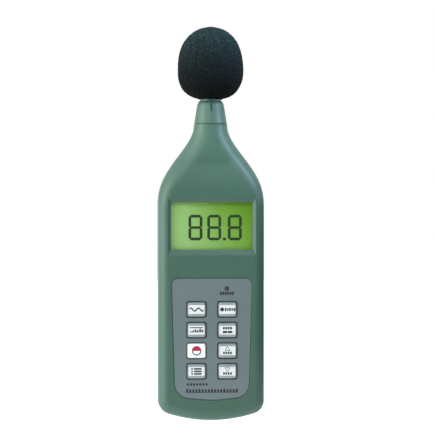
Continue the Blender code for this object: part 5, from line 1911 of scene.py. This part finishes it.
@dataclass
class Studio:
    """Pale floor, white surroundings, three lights, two black cards and the camera.

    A soft key light stands on the upper left and a cool strip on the right. A narrow beam from
    above greys the top of the foam.
    """

    azimuth: float = -4.0
    distance: float = 1.5
    lens: float = 206.9
    aim: tuple[float, float, float] = (4.2 * MM, 0.0, 121.0 * MM)
    floor_radius: float = 6.0
    drop: float = 68.0 * MM
    flags: tuple[tuple[Sequence[float], Sequence[float]], ...] = (
        ((0.13, -0.3, 0.012), (0.131, 0.2, 0.135)),
        ((-0.4, -0.501, 0.04), (0.45, -0.5, 0.3)))
    lights: tuple[SoftLight, ...] = (
        SoftLight("soft_key_upper_left", 9.6, (0.8, 0.8), (-0.9, -0.3, 0.4), (0.0, 0.0, 0.12)),
        SoftLight("cool_strip_right", 0.25, (0.022, 0.09), (0.13, -0.068, 0.252),
                  (0.0, 0.0, 0.185), "#bcd6ff"),
        SoftLight("beam_from_above", 0.034, (0.12, 0.12), (-0.03, -0.35, 0.52),
                  (0.0, 0.0, 0.222), spread=21.0))

    def lay_floor(self) -> None:
        """A round sheet of white paper, low enough for the cover to slide out above it."""
        ring = circle((0.0, 0.0), self.floor_radius, 64)
        floor = mesh_object("studio_floor", prism(ring, -self.drop - MM, -self.drop).raised())
        floor.data.materials.append(StudioPaper("paper_white_matt", "#f2f3f3", 0.9).make())

    def hang_flags(self) -> None:
        """Black cards in front and on the right, which the camera doesn't see.

        They take light off the face and the right side, so that the borders stay paler.
        """
        look = StudioPaper("card_black_matt", "#050505", 0.9).make(glow=0.0)
        for number, (low, high) in enumerate(self.flags, start=1):
            card = mesh_object(f"studio_flag_{number}", block(low, high))
            card.data.materials.append(look)
            card.visible_camera = False

    def surround(self) -> None:
        """Even white surroundings."""
        world = bpy.data.worlds.new("white_surroundings")
        bpy.context.scene.world = world
        world.use_nodes = True
        backdrop = world.node_tree.nodes["Background"]
        backdrop.inputs["Color"].default_value = (1.0, 1.0, 1.0, 1.0)
        backdrop.inputs["Strength"].default_value = 1.0

    def set_camera(self) -> None:
        """A long lens at the object's mid height, a few degrees to its left."""
        camera = bpy.data.objects.new("camera", bpy.data.cameras.new("camera"))
        camera.data.lens = self.lens
        camera.data.sensor_width = 36.0
        turn = math.radians(self.azimuth)
        back = Vector((math.sin(turn), -math.cos(turn), 0.0))
        camera.location = Vector(self.aim) + back * self.distance
        camera.rotation_euler = (-back).to_track_quat("-Z", "Y").to_euler()
        camera.data.clip_start = 0.01
        bpy.context.scene.collection.objects.link(camera)
        bpy.context.scene.camera = camera
        bpy.context.scene.view_settings.view_transform = "Standard"

    def build(self) -> None:
        """Sets the whole studio up."""
        self.lay_floor()
        self.hang_flags()
        self.surround()
        for light in self.lights:
            light.hang()
        self.set_camera()


def main() -> None:
    """Builds every sub-assembly in order, then the studio."""
    logging.basicConfig(level=logging.INFO, format="%(message)s")
    works = Workshop()
    case = Case(works)
    for assembly in (case, Keypad(works, case), Display(works), Microphone(works),
                     Windscreen(works), BackFittings(works), BatteryBay(works),
                     Electronics(works), Studio()):
        assembly.build()
        LOG.info("%s is done", type(assembly).__name__)


if __name__ == "__main__":
    main()
